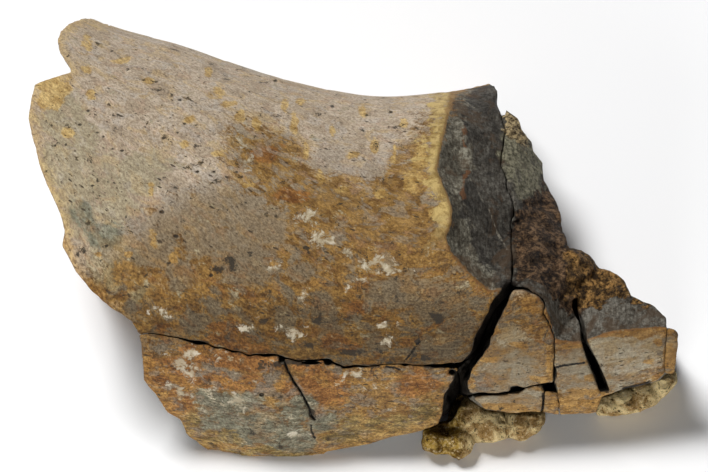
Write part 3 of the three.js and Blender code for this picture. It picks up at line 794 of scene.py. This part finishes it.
def surface_net(field, low, step):
    """Vertices and quads of the zero surface of a sampled field."""
    inside = field < 0
    shape = [count - 1 for count in field.shape]
    corners_inside = cell_corners(inside)
    cells = np.argwhere(corners_inside.any(0) & ~corners_inside.all(0))
    number = np.full(shape, -1, np.int32)
    number[tuple(cells.T)] = np.arange(len(cells))
    values = {
        c: field[cells[:, 0] + c[0], cells[:, 1] + c[1], cells[:, 2] + c[2]] for c in CELL_CORNERS
    }
    total = np.zeros((len(cells), 3), np.float32)
    hits = np.zeros(len(cells), np.float32)
    for start in CELL_CORNERS:
        for axis in range(3):
            if start[axis] == 1:
                continue
            end = tuple(c + (1 if n == axis else 0) for n, c in enumerate(start))
            a, b = values[start], values[end]
            crosses = (a < 0) != (b < 0)
            t = np.where(crosses, a / np.where(crosses, a - b, 1), 0)
            for n in range(3):
                total[:, n] += np.where(crosses, start[n] + (t if n == axis else 0), 0)
            hits += crosses
    points = np.array(low, np.float32) + (cells + total / hits[:, None]) * step
    quads = []
    for axis in range(3):
        second, third = [(1, 2), (2, 0), (0, 1)][axis]
        near = [slice(1, n) for n in shape]
        near[axis] = slice(0, shape[axis])
        far = list(near)
        far[axis] = slice(1, shape[axis] + 1)
        leaving = inside[tuple(near)] & ~inside[tuple(far)]
        entering = ~inside[tuple(near)] & inside[tuple(far)]
        base = np.array([0 if n == axis else 1 for n in range(3)])
        for crossing, flip in ((leaving, False), (entering, True)):
            edges = np.argwhere(crossing) + base
            ring = []
            for back_second, back_third in ((1, 1), (0, 1), (0, 0), (1, 0)):
                cell = edges.copy()
                cell[:, second] -= back_second
                cell[:, third] -= back_third
                ring.append(number[cell[:, 0], cell[:, 1], cell[:, 2]])
            quad = np.stack(ring, 1)
            quads.append(quad[:, ::-1] if flip else quad)
    return points, np.concatenate(quads)


def largest_shell(points, quads):
    """Keeps the biggest connected part of a mesh."""
    label = np.arange(len(points))
    while True:
        lowest = label[quads].min(1)
        fresh = label.copy()
        for corner in range(quads.shape[1]):
            np.minimum.at(fresh, quads[:, corner], lowest)
        fresh = fresh[fresh]
        if (fresh == label).all():
            break
        label = fresh
    names, counts = np.unique(label, return_counts=True)
    keep = label == names[counts.argmax()]
    number = np.cumsum(keep) - 1
    return points[keep], number[quads[keep[quads[:, 0]]]]


LOWER_WALL_RANGE = (-45, 15)


def centre_shift():
    """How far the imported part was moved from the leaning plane's own origin, in metres."""
    crack_reach = max(u for u, _ in UPRIGHT_CRACK) - CRACK_HALF_WIDTH
    shift_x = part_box("upper_shaft")[1].x - crack_reach * MM
    shaft = np.linspace(*LOWER_WALL_RANGE, 240, dtype=np.float32)
    foot = float((along_shaft(NEAR_FOOT, shaft) / LEAN_SIN).min())
    shift_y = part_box("lower_wall")[0].y - foot * MM
    return shift_x, shift_y


shift_x, shift_y = centre_shift()


def to_world(points):
    u, v, w = points.T
    x, y, z = place(u, v, w)
    return np.stack([x * MM + shift_x, y * MM + shift_y, z * MM], 1)


# Width of the wall across the grain, and how the grain fans out towards the left end
GRAIN_WIDTH = 105
GRAIN_FAN = 0.35
FAN_START = 20


def grain_coordinates(u, v, w):
    """Coordinates that follow the bone's grain: along it, across it and inward."""
    rim = along_shaft(FAR_RIM, u)
    foot = along_shaft(NEAR_FOOT, u)
    share = (v - foot) / (rim - foot)
    across = share * GRAIN_WIDTH + GRAIN_FAN * np.minimum(u - FAN_START, 0) * share
    return np.stack([u, across, w], 1)


# Distances that are stored on the surface, with the range kept; the second kind has its lines
# roughened by noise
STEADY_MARKS = {
    "hairline": (hairline_map, 0, 5), "pale_vein": (vein_map, 0, 5), "outline": (edge_map, -9, 2),
    "pit": (pit_map, -3, 6), "behind_break": (break_map, -60, 60),
    "in_gap": (wide_gap_map, -3, 6), "shaft_side": (shaft_side_map, -6, 6),
}
WANDERING_MARKS = {
    "strip_side": (strip_map, -9, 9), "red_ridge": (ridge_map, 0, 9),
    "pale_spot": (pale_map, -3, 6), "brown_zone": (brown_zone_map, -30, 30),
    "green_bone": (green_map, -9, 9), "spongy_bone": (spongy_map, -9, 9),
    "ochre_bone": (ochre_bone_map, -9, 9), "grain_crust": (crust_map, -9, 9),
}


def surface_marks(points):
    """Per-vertex measures that the materials read, in millimetres."""
    u, v, w = points.T
    warp_u = u + 1.2 * layered_noise(u, v, w, 4, 2, 12)
    warp_v = v + 1.2 * layered_noise(u, v, w, 4, 2, 13)
    bare_depth = outer_depth(u, v, w) - skin_relief(u, v, w)
    marks = {"skin_depth": np.clip(bare_depth, -2, 60)}
    for name, (source, low, high) in STEADY_MARKS.items():
        marks[name] = np.clip(source(u, v), low, high)
    for name, (source, low, high) in WANDERING_MARKS.items():
        marks[name] = np.clip(source(warp_u, warp_v), low, high)
    for name, patch in patch_maps.items():
        marks[name] = patch(u, v)
    return marks


def add_mesh(name, points, quads, marks):
    mesh = bpy.data.meshes.new(name)
    world = to_world(points)
    mesh.vertices.add(len(world))
    mesh.vertices.foreach_set("co", world.astype(np.float32).ravel())
    mesh.loops.add(quads.size)
    mesh.loops.foreach_set("vertex_index", quads.astype(np.int32).ravel())
    mesh.polygons.add(len(quads))
    mesh.polygons.foreach_set("loop_start", np.arange(0, quads.size, 4, dtype=np.int32))
    mesh.update(calc_edges=True)
    mesh.validate()
    mesh.polygons.foreach_set("use_smooth", np.ones(len(mesh.polygons), bool))
    for key, values in marks.items():
        attribute = mesh.attributes.new(key, "FLOAT", "POINT")
        attribute.data.foreach_set("value", values.astype(np.float32))
    grain = mesh.attributes.new("grain", "FLOAT_VECTOR", "POINT")
    grain.data.foreach_set("vector", grain_coordinates(*points.T).astype(np.float32).ravel())
    piece = bpy.data.objects.new(name, mesh)
    bpy.context.scene.collection.objects.link(piece)
    return piece


def node_range(node):
    """Box of a CAD node in the leaning plane's own coordinates, with a small margin."""
    low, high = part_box(node)
    corners = []
    for x, y, z in itertools.product(*zip(low, high)):
        own_y = (y - shift_y) / MM
        own_z = z / MM
        v = own_y * LEAN_SIN + own_z * LEAN_COS
        w = own_z * LEAN_SIN - own_y * LEAN_COS
        corners.append(((x - shift_x) / MM, v, w))
    corners = np.array(corners)
    return corners.min(0) - BOX_MARGIN, corners.max(0) + BOX_MARGIN


def build_piece(node, field, step):
    low, high = node_range(node)
    samples = sampled(field, low, high, step)
    points, quads = surface_net(samples, low, step)
    points, quads = largest_shell(points, quads)
    return add_mesh(node + "_surface", points, quads, surface_marks(points))


# Materials. A wire stands for one output of a shader node.

def feed(tree, node, key, value):
    """Sets a node's input to a plain value, or links it to a wire."""
    if isinstance(value, Wire):
        tree.links.new(value.socket, node.inputs[key])
    else:
        node.inputs[key].default_value = value


def arithmetic(operation, swapped=False):
    """A method that combines a wire with a number or another wire."""
    def combine(self, other):
        inputs = {0: other, 1: self} if swapped else {0: self, 1: other}
        return Wire(self.tree, "ShaderNodeMath", 0, inputs, operation=operation)
    return combine


class Wire:
    """A number, colour or place that varies over the surface."""

    def __init__(self, tree, kind, output, inputs=None, **settings):
        self.tree = tree
        self.node = tree.nodes.new(kind)
        for key, value in settings.items():
            setattr(self.node, key, value)
        for key, value in (inputs or {}).items():
            feed(tree, self.node, key, value)
        self.socket = self.node.outputs[output]

    def output(self, name):
        """The same node, read at another of its outputs."""
        other = copy.copy(self)
        other.socket = self.node.outputs[name]
        return other

    __add__ = arithmetic("ADD")
    __sub__ = arithmetic("SUBTRACT")
    __rsub__ = arithmetic("SUBTRACT", swapped=True)
    __mul__ = arithmetic("MULTIPLY")
    __truediv__ = arithmetic("DIVIDE")
    larger = arithmetic("MAXIMUM")

    def swing(self, amount):
        """Noise moved to swing evenly about zero, times an amount."""
        return (self - 0.5) * amount

    def step(self, low, high):
        """0 below low and 1 above high, smooth between; the other way round if low is larger."""
        inputs = {"Value": self, "From Min": low, "From Max": high}
        settings = {"interpolation_type": "SMOOTHSTEP"}
        return Wire(self.tree, "ShaderNodeMapRange", "Result", inputs, **settings)

    def blend(self, kind, factor, under, over):
        """Mix of two colours, where a plain colour is red, green and blue."""
        colours = [(*c, 1) if isinstance(c, tuple) else c for c in (under, over)]
        inputs = {0: factor, 6: colours[0], 7: colours[1]}
        return Wire(self.tree, "ShaderNodeMix", 2, inputs, data_type="RGBA", blend_type=kind)

    def between(self, under, over):
        """The first colour where this number is 0, the second where it is 1."""
        return self.blend("MIX", self, under, over)

    def shades(self, low, high, dark, light):
        """Colour that runs from dark to light with this noise."""
        return self.step(low, high).between(dark, light)

    def painted(self, share, coat):
        """This colour with a share of another laid over it."""
        return self.blend("MIX", share, self, coat)

    def tinted(self, tint, share=1.0):
        """This colour multiplied by another."""
        return self.blend("MULTIPLY", share, self, tint)

    def stretched(self, scale, offset=0.0):
        inputs = {"Vector": self, "Scale": scale, "Location": (offset, 2 * offset, -offset)}
        return Wire(self.tree, "ShaderNodeMapping", "Vector", inputs)

    def mottle(self, scale, detail=4.0, roughness=0.6, distortion=0.0):
        inputs = {
            "Vector": self, "Scale": scale, "Detail": detail, "Roughness": roughness,
            "Distortion": distortion,
        }
        return Wire(self.tree, "ShaderNodeTexNoise", "Fac", inputs)

    def cells(self, scale):
        inputs = {"Vector": self, "Scale": scale}
        return Wire(self.tree, "ShaderNodeTexVoronoi", "Distance", inputs)

    def dots(self, scale, share, size):
        """Dots of uneven size, one in each of a share of small cells."""
        cells = self.cells(scale)
        inputs = {"Color": cells.output("Color")}
        luck = Wire(self.tree, "ShaderNodeSeparateColor", "Red", inputs)
        radius = (luck - (1 - share)) * (size / share)
        return (cells - radius).step(0.0, -0.06)


def measure(tree, name):
    return Wire(tree, "ShaderNodeAttribute", "Fac", attribute_name=name)


def picture_places(tree):
    """The place in space, and v of the leaning plane in millimetres."""
    spot = Wire(tree, "ShaderNodeTexCoord", "Object")
    part = Wire(tree, "ShaderNodeSeparateXYZ", "Y", {"Vector": spot})
    y = (part - shift_y) / MM
    z = part.output("Z") / MM
    return spot, y * LEAN_SIN + z * LEAN_COS


def coated(colour, coats):
    """A colour with each share and coat laid over it in turn."""
    for share, coat in coats:
        colour = colour.painted(share, coat)
    return colour


# Small islands of colour on the outer wall: offset, size, noise range, strength, and the colour
# high on the wall and low on it
ISLANDS = [
    (11, 0.2, (0.53, 0.6), 0.65, (0.5, 0.35, 0.16), (0.33, 0.175, 0.045)),
    (23, 0.3, (0.55, 0.61), 0.6, (0.45, 0.31, 0.22), (0.25, 0.11, 0.03)),
    (37, 0.24, (0.54, 0.61), 0.65, (0.43, 0.39, 0.35), (0.2, 0.175, 0.14)),
    (53, 0.5, (0.6, 0.68), 0.6, (0.24, 0.17, 0.105), (0.07, 0.045, 0.025)),
    (71, 0.7, (0.63, 0.7), 0.55, (0.6, 0.52, 0.42), (0.4, 0.33, 0.22)),
]
CALM_PATCHES = {"slate_patch": 0.9, "grey_patch": 0.6, "mossy_patch": 0.6, "olive_patch": 0.6}


def smooth_share(tree):
    """1 on the even grey-tan wall of the right pieces."""
    return measure(tree, "tan_patch").larger(measure(tree, "pale_tan_patch"))


def island_share(tree, high):
    """How strongly the islands show: less high on the wall and in the calm patches."""
    plain = smooth_share(tree)
    for name, amount in CALM_PATCHES.items():
        plain = plain.larger(measure(tree, name) * amount)
    return (1 - high * 0.35) * (1 - plain * 0.75)


def shaded_by_height(tree, place_v, colour):
    """The outer wall darkens and browns towards its foot."""
    on_shaft = measure(tree, "shaft_side").step(-0.5, 0.5)
    for share, tint in (
        (place_v.step(88, 52) * on_shaft, (0.93, 0.91, 0.87)),
        (measure(tree, "brown_zone").step(4, -6) * on_shaft, (0.8, 0.76, 0.66)),
        (place_v.step(54, 36) * on_shaft, (0.67, 0.68, 0.68)),
        (place_v.step(20, 40) - on_shaft, (0.6, 0.55, 0.46)),
    ):
        colour = colour.tinted(tint, share)
    return colour


def outer_wall_colour(tree, place_v, grain, noises):
    """Tan, grey, ochre and brown of the weathered outer wall."""
    patches, medium, fine, blotches = noises
    high = place_v.step(40, 92)
    light = patches.shades(0.38, 0.6, (0.38, 0.3, 0.215), (0.5, 0.412, 0.318))
    olive = medium.shades(0.35, 0.65, (0.24, 0.2, 0.118), (0.38, 0.33, 0.22))
    brown = medium.shades(0.38, 0.62, (0.17, 0.09, 0.028), (0.38, 0.23, 0.075))
    grey = high.between((0.2, 0.16, 0.115), (0.36, 0.3, 0.235))
    slate = medium.shades(0.35, 0.65, (0.095, 0.094, 0.066), (0.235, 0.23, 0.17))
    rust = medium.shades(0.38, 0.66, (0.15, 0.06, 0.016), (0.36, 0.17, 0.05))
    mossy = medium.shades(0.4, 0.64, (0.1, 0.07, 0.022), (0.36, 0.26, 0.1))
    ochre = medium.shades(0.38, 0.62, (0.36, 0.22, 0.065), (0.62, 0.44, 0.18))
    tan = patches.shades(0.38, 0.58, (0.25, 0.155, 0.065), (0.27, 0.232, 0.165))
    pale_tan = patches.shades(0.38, 0.58, (0.36, 0.27, 0.15), (0.41, 0.37, 0.285))
    ragged = patches.swing(2.4) + medium.swing(2.4) + fine.swing(0.9)
    zone = (measure(tree, "brown_zone") + ragged * 10).step(3, -2)
    colour = zone.between(light, patches.step(0.42, 0.5).between(grey, brown))
    colour = coated(colour, [
        ((measure(tree, name) + ragged).step(0.35, 0.75) * strength, coat)
        for name, coat, strength in (
            ("olive_patch", olive, 0.75), ("brown_patch", brown, 0.9), ("grey_patch", grey, 0.85),
            ("rust_patch", rust, 0.95), ("slate_patch", slate, 0.95), ("mossy_patch", mossy, 0.9),
            ("tan_patch", tan, 1.0), ("pale_tan_patch", pale_tan, 0.9),
        )
    ])
    calm = island_share(tree, high)
    for offset, size, (low, top), strength, high_colour, low_colour in ISLANDS:
        noise = grain.stretched((0.65, 1, 1), offset).mottle(size, 6, 0.62, 0.7)
        island = high.between(low_colour, high_colour)
        colour = colour.painted(noise.step(low, top) * strength * calm, island)
    ochre = ochre.tinted(place_v.step(45, 80).between((0.72, 0.6, 0.46), (1, 1, 1)))
    rim = (measure(tree, "outline") + ragged * 2.5).step(-4, -0.5)
    bright = measure(tree, "ochre_patch") + blotches.swing(3) + patches.swing(1.5)
    colour = coated(colour, [(rim * 0.5, ochre), (bright.step(0.35, 0.85) * 0.85, ochre)])
    return shaded_by_height(tree, place_v, colour)


def outer_wall_details(tree, colour, place_v, grain, noises):
    """Speckle, pores and pits in painted shade, pale crust spots and the outer wall's stained rim.
    """
    patches, _, fine, blotches = noises
    smooth = smooth_share(tree)
    calm = (place_v.step(40, 80) * 0.35).larger(smooth * 0.55)
    speckle = fine.shades(0.34, 0.66, (0.5, 0.44, 0.38), (1.5, 1.52, 1.5))
    colour = colour.tinted(speckle.painted(calm, (1, 1, 1)))
    streaks = grain.stretched((0.1, 1, 1)).mottle(0.9, 4, 0.65)
    streaks = streaks.shades(0.36, 0.62, (0.8, 0.77, 0.73), (1.12, 1.12, 1.1))
    colour = colour.tinted(streaks, place_v.step(62, 38) - smooth * 0.4)
    # Pores: dark dashes and dots of painted shade inside the small holes that the bump cuts.
    strokes = grain.stretched((0.3, 1, 1)).dots(0.9, 0.5, 0.25) * patches.step(0.3, 0.5)
    specks = grain.stretched((0.5, 1, 1)).dots(1.5, 0.45, 0.3)
    pale = (measure(tree, "pale_spot") + blotches.swing(20) + fine.swing(3)).step(0.5, -1.4)
    white = blotches.shades(0.3, 0.5, (0.68, 0.61, 0.48), (0.43, 0.36, 0.24))
    smudge = measure(tree, "dark_smudge") + (blotches.swing(6) + fine.swing(2))
    # Pits: painted near black as painted shade inside the hollows that the geometry cuts.
    pit = measure(tree, "pit").step(0.15, -0.15)
    behind = measure(tree, "behind_break")
    rim = (behind + patches.swing(18) + blotches.swing(12)).step(-4.6, -3.4)
    yellow = blotches.shades(0.38, 0.62, (0.25, 0.16, 0.045), (0.6, 0.44, 0.17))
    edge_line = (behind + blotches.swing(6)).step(-0.5, 0.1)
    colour = coated(colour, [
        (strokes * 0.85, (0.045, 0.03, 0.018)),
        (specks * 0.65, (0.07, 0.048, 0.03)),
        (pale * 0.85, white),
        (smudge.step(0.6, 0.95) * 0.9, (0.026, 0.021, 0.015)),
        (pit * 0.9, (0.02, 0.016, 0.012)),
        (rim * place_v.step(58, 72) * 0.85, yellow),
        (edge_line * 0.6, (0.2, 0.09, 0.03)),
    ])
    return colour, strokes.larger(specks * 0.6), pale


def compact_colour(tree, spot, place_v, scratches, crumbs, slaty, ragged):
    """Dark compact bone, lighter right of the ridge, with a green area at the far edge."""
    left = slaty.shades(0.38, 0.62, (0.034, 0.031, 0.027), (0.078, 0.073, 0.064))
    right = slaty.shades(0.38, 0.62, (0.072, 0.066, 0.052), (0.175, 0.166, 0.136))
    colour = (measure(tree, "strip_side") + ragged).step(-0.6, 0.6).between(left, right)
    colour = colour.painted(place_v.step(50, 43) * 0.5, (0.165, 0.155, 0.135))
    colour = colour.tinted(crumbs.shades(0.34, 0.68, (0.4, 0.36, 0.31), (1.75, 1.75, 1.7)))
    colour = colour.tinted(scratches.shades(0.38, 0.62, (0.66, 0.61, 0.56), (1.3, 1.3, 1.28)))
    red = (measure(tree, "red_ridge") + ragged * 0.3).step(0.7, 0.1)
    stain = spot.stretched((1, 1, 1), 3.1).mottle(70, 6, 0.7, 0.8).step(0.52, 0.6)
    colour = coated(colour, [
        (red * 0.75, (0.16, 0.07, 0.028)),
        (crumbs.step(0.62, 0.7) * 0.5, (0.2, 0.19, 0.16)),
        (stain * 0.65, (0.07, 0.042, 0.022)),
    ])
    green = crumbs.shades(0.38, 0.64, (0.055, 0.05, 0.03), (0.32, 0.295, 0.2))
    green = green.painted(slaty.step(0.54, 0.6) * 0.6, colour)
    return colour.painted(within(tree, "green_bone", ragged, 1.2), green)


def within(tree, name, ragged, softness):
    """1 inside an outlined area of the broken face, with an edge the noise breaks up."""
    return (measure(tree, name) + ragged).step(softness, -softness)


def broken_colour(tree, spot, place_v, grain, depth, noises):
    """Compact bone, then spongy bone and ochre-filled bone further in."""
    _, medium, _, blotches = noises
    crumbs = spot.mottle(760, 5, 0.85)
    slaty = spot.mottle(120, 5, 0.65, 0.6)
    scratches = grain.stretched((1, 0.14, 0.4)).mottle(1.3, 4, 0.7, 0.3)
    ragged = slaty.swing(13) + blotches.swing(8)
    heavy = blotches.shades(0.4, 0.6, (0.4, 0.38, 0.38), (1.6, 1.5, 1.4))
    spongy = crumbs.shades(0.42, 0.6, (0.014, 0.008, 0.005), (0.15, 0.094, 0.051)).tinted(heavy)
    # The lightest crumbs, where the bump is highest, get a painted highlight.
    spongy = spongy.painted(crumbs.step(0.62, 0.7), (0.28, 0.21, 0.14))
    ochre = crumbs.shades(0.42, 0.58, (0.02, 0.01, 0.003), (0.27, 0.155, 0.05)).tinted(heavy)
    # The lightest crumbs, where the bump is highest, get a painted highlight.
    ochre = ochre.painted(crumbs.step(0.6, 0.68), (0.6, 0.43, 0.2))
    crust = crumbs.shades(0.42, 0.6, (0.03, 0.016, 0.006), (0.5, 0.38, 0.2))
    uneven = depth + ragged
    spongy_share = within(tree, "spongy_bone", ragged, 0.4).larger(uneven.step(25, 26))
    ochre_share = within(tree, "ochre_bone", ragged, 0.4).larger(uneven.step(34, 42))
    vein = (measure(tree, "pale_vein") + crumbs.swing(0.7)).step(0.3, 0.1)
    rind = (depth + medium.swing(7)).step(1.1, 0.5)
    colour = coated(compact_colour(tree, spot, place_v, scratches, crumbs, slaty, ragged), [
        (spongy_share, spongy),
        (ochre_share, ochre),
        (within(tree, "grain_crust", ragged, 0.4), crust),
        (vein * 0.7, (0.3, 0.27, 0.21)),
        (rind * 0.6, (0.24, 0.125, 0.04)),
    ])
    relief = crumbs * (spongy_share.larger(ochre_share) + 0.8)
    return colour, relief + scratches * 0.8 + spot.cells(900.0) * 0.4


def new_material(name):
    material = bpy.data.materials.new(name)
    material.use_nodes = True
    return material, material.node_tree, material.node_tree.nodes["Principled BSDF"]


def add_bump(tree, shader, height, strength, distance):
    inputs = {"Height": height, "Strength": strength, "Distance": distance}
    feed(tree, shader, "Normal", Wire(tree, "ShaderNodeBump", "Normal", inputs))


def bone_material():
    material, tree, shader = new_material("fossil_bone")
    spot, place_v = picture_places(tree)
    grain = Wire(tree, "ShaderNodeAttribute", "Vector", attribute_name="grain")
    depth = measure(tree, "skin_depth")
    patches = grain.stretched((0.7, 1, 1)).mottle(0.2, 6, 0.65, 0.6)
    medium = grain.stretched((0.5, 1, 1)).mottle(0.5, 6, 0.7, 0.15)
    fine = grain.stretched((0.75, 1, 1)).mottle(1.7, 4, 0.75)
    blotches = spot.mottle(260, 6, 0.72, 0.4)
    noises = (patches, medium, fine, blotches)
    outer = outer_wall_colour(tree, place_v, grain, noises)
    outer, holes, pale = outer_wall_details(tree, outer, place_v, grain, noises)
    inner, inner_relief = broken_colour(tree, spot, place_v, grain, depth, noises)

    bare = depth + fine.swing(0.6)
    is_broken = bare.step(0.45, 0.85)
    # Deep in the wide gap the walls are painted near black: partly dirt in the crack, partly painted
    # shade of the deep opening.
    gap_dirt_and_shade = measure(tree, "in_gap").step(1.4, 0.5) * bare.step(0.6, 2.0)
    line = (measure(tree, "hairline") + fine.swing(0.6)).step(0.4, 0.2)
    colour = is_broken.between(outer, inner)
    colour = coated(colour, [
        (gap_dirt_and_shade * 0.92, (0.012, 0.008, 0.005)), (line, (0.012, 0.01, 0.008)),
    ])
    feed(tree, shader, "Base Color", colour)
    feed(tree, shader, "Roughness", fine.step(0.3, 0.8) * 0.25 + 0.6)
    shader.inputs["Specular IOR Level"].default_value = 0.2

    outer_relief = fine * 0.7 - holes + medium * 1.2 + pale * 0.35
    sides = {"Factor": is_broken, "A": outer_relief, "B": inner_relief}
    height = Wire(tree, "ShaderNodeMix", "Result", sides) - line * 1.5
    add_bump(tree, shader, height, 0.9, 0.0005)
    return material


def matrix_material():
    material, tree, shader = new_material("rock_matrix")
    spot = Wire(tree, "ShaderNodeTexCoord", "Object")
    broad = spot.mottle(220, 5, 0.7, 0.5)
    fine = spot.mottle(760, 5, 0.85)
    pale = broad.shades(0.42, 0.58, (0.42, 0.25, 0.085), (0.92, 0.72, 0.36))
    dark = broad.shades(0.42, 0.58, (0.15, 0.075, 0.008), (0.5, 0.32, 0.065))
    across = Wire(tree, "ShaderNodeSeparateXYZ", "X", {"Vector": spot})
    # Pale specks on the grain tops are ochre grains with a painted highlight; the near black where
    # the fine noise, and with it the bump, is lowest is painted shade in the crevices.
    colour = coated(across.step(0.03, 0.034).between(dark, pale), [
        (fine.step(0.54, 0.64), (0.8, 0.66, 0.4)), (fine.step(0.46, 0.38), (0.04, 0.02, 0.005)),
    ])
    feed(tree, shader, "Base Color", colour)
    shader.inputs["Roughness"].default_value = 0.9
    shader.inputs["Specular IOR Level"].default_value = 0.15
    add_bump(tree, shader, broad * 1.5 + fine, 1.0, 0.0014)
    return material


def backdrop_material():
    material, tree, shader = new_material("pale_floor")
    shade = Wire(tree, "ShaderNodeTexCoord", "Object").mottle(3.0)
    feed(tree, shader, "Base Color", shade.between((0.96, 0.96, 0.97), (0.95, 0.95, 0.95)))
    shader.inputs["Roughness"].default_value = 0.8
    return material


# Building

FINE_STEP = 0.55
BROAD_STEP = 0.72

bone = bone_material()
matrix = matrix_material()


def dress(node, piece, material):
    piece.data.materials.append(material)
    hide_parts(node)
    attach(piece, "root")


for node, outline in region_outlines().items():
    region = outline_map(outline)
    step = BROAD_STEP if node == "upper_shaft" else FINE_STEP
    piece = build_piece(node, lambda u, v, w: bone_field(u, v, w, region), step)
    dress(node, piece, bone)

for node, field in (("left_matrix", left_matrix_field), ("right_matrix", right_matrix_field)):
    dress(node, build_piece(node, field, FINE_STEP), matrix)


# Floor, camera and light

FLOOR_SIZE = 6
CAMERA_DISTANCE = 5.0
WHITE = (1, 1, 1, 1)


def add_floor():
    bpy.ops.mesh.primitive_plane_add(size=FLOOR_SIZE, location=(0, 0, 0))
    floor = bpy.context.object
    floor.name = "floor"
    floor.data.materials.append(backdrop_material())


def add_camera():
    """Looks straight down w, far enough away for an almost parallel view."""
    distance = CAMERA_DISTANCE
    u, v = from_picture(PICTURE_SIZE[0] / 2, PICTURE_SIZE[1] / 2)
    x, y, z = place(u, v, 0)
    target = (x * MM + shift_x, y * MM + shift_y, z * MM)
    data = bpy.data.cameras.new("camera")
    data.sensor_width = 36
    data.lens = data.sensor_width * distance / (PICTURE_SIZE[0] * MM_PER_PIXEL * MM)
    data.clip_end = 4 * distance
    camera = bpy.data.objects.new("camera", data)
    camera.location = (
        target[0], target[1] - distance * LEAN_COS, target[2] + distance * LEAN_SIN,
    )
    camera.rotation_euler = (math.pi / 2 - LEAN, 0, 0)
    bpy.context.scene.collection.objects.link(camera)
    bpy.context.scene.camera = camera


def add_light(name, place_at, size, power):
    data = bpy.data.lights.new(name, "AREA")
    data.size = size
    data.energy = power
    light = bpy.data.objects.new(name, data)
    light.location = place_at
    aim = -light.location
    light.rotation_euler = aim.to_track_quat("-Z", "Y").to_euler()
    bpy.context.scene.collection.objects.link(light)


def add_world(strength):
    world = bpy.data.worlds.new("studio")
    world.use_nodes = True
    sky = world.node_tree.nodes["Background"]
    sky.inputs["Color"].default_value = WHITE
    sky.inputs["Strength"].default_value = strength
    bpy.context.scene.world = world


add_floor()
add_camera()
add_light("back_top", (-0.64, 0.46, 1.78), size=0.6, power=39.5)
add_light("front_fill", (-0.3, -1.8, 0.35), size=0.8, power=24)
add_world(strength=0.06)
bpy.context.scene.view_settings.view_transform = "Standard"
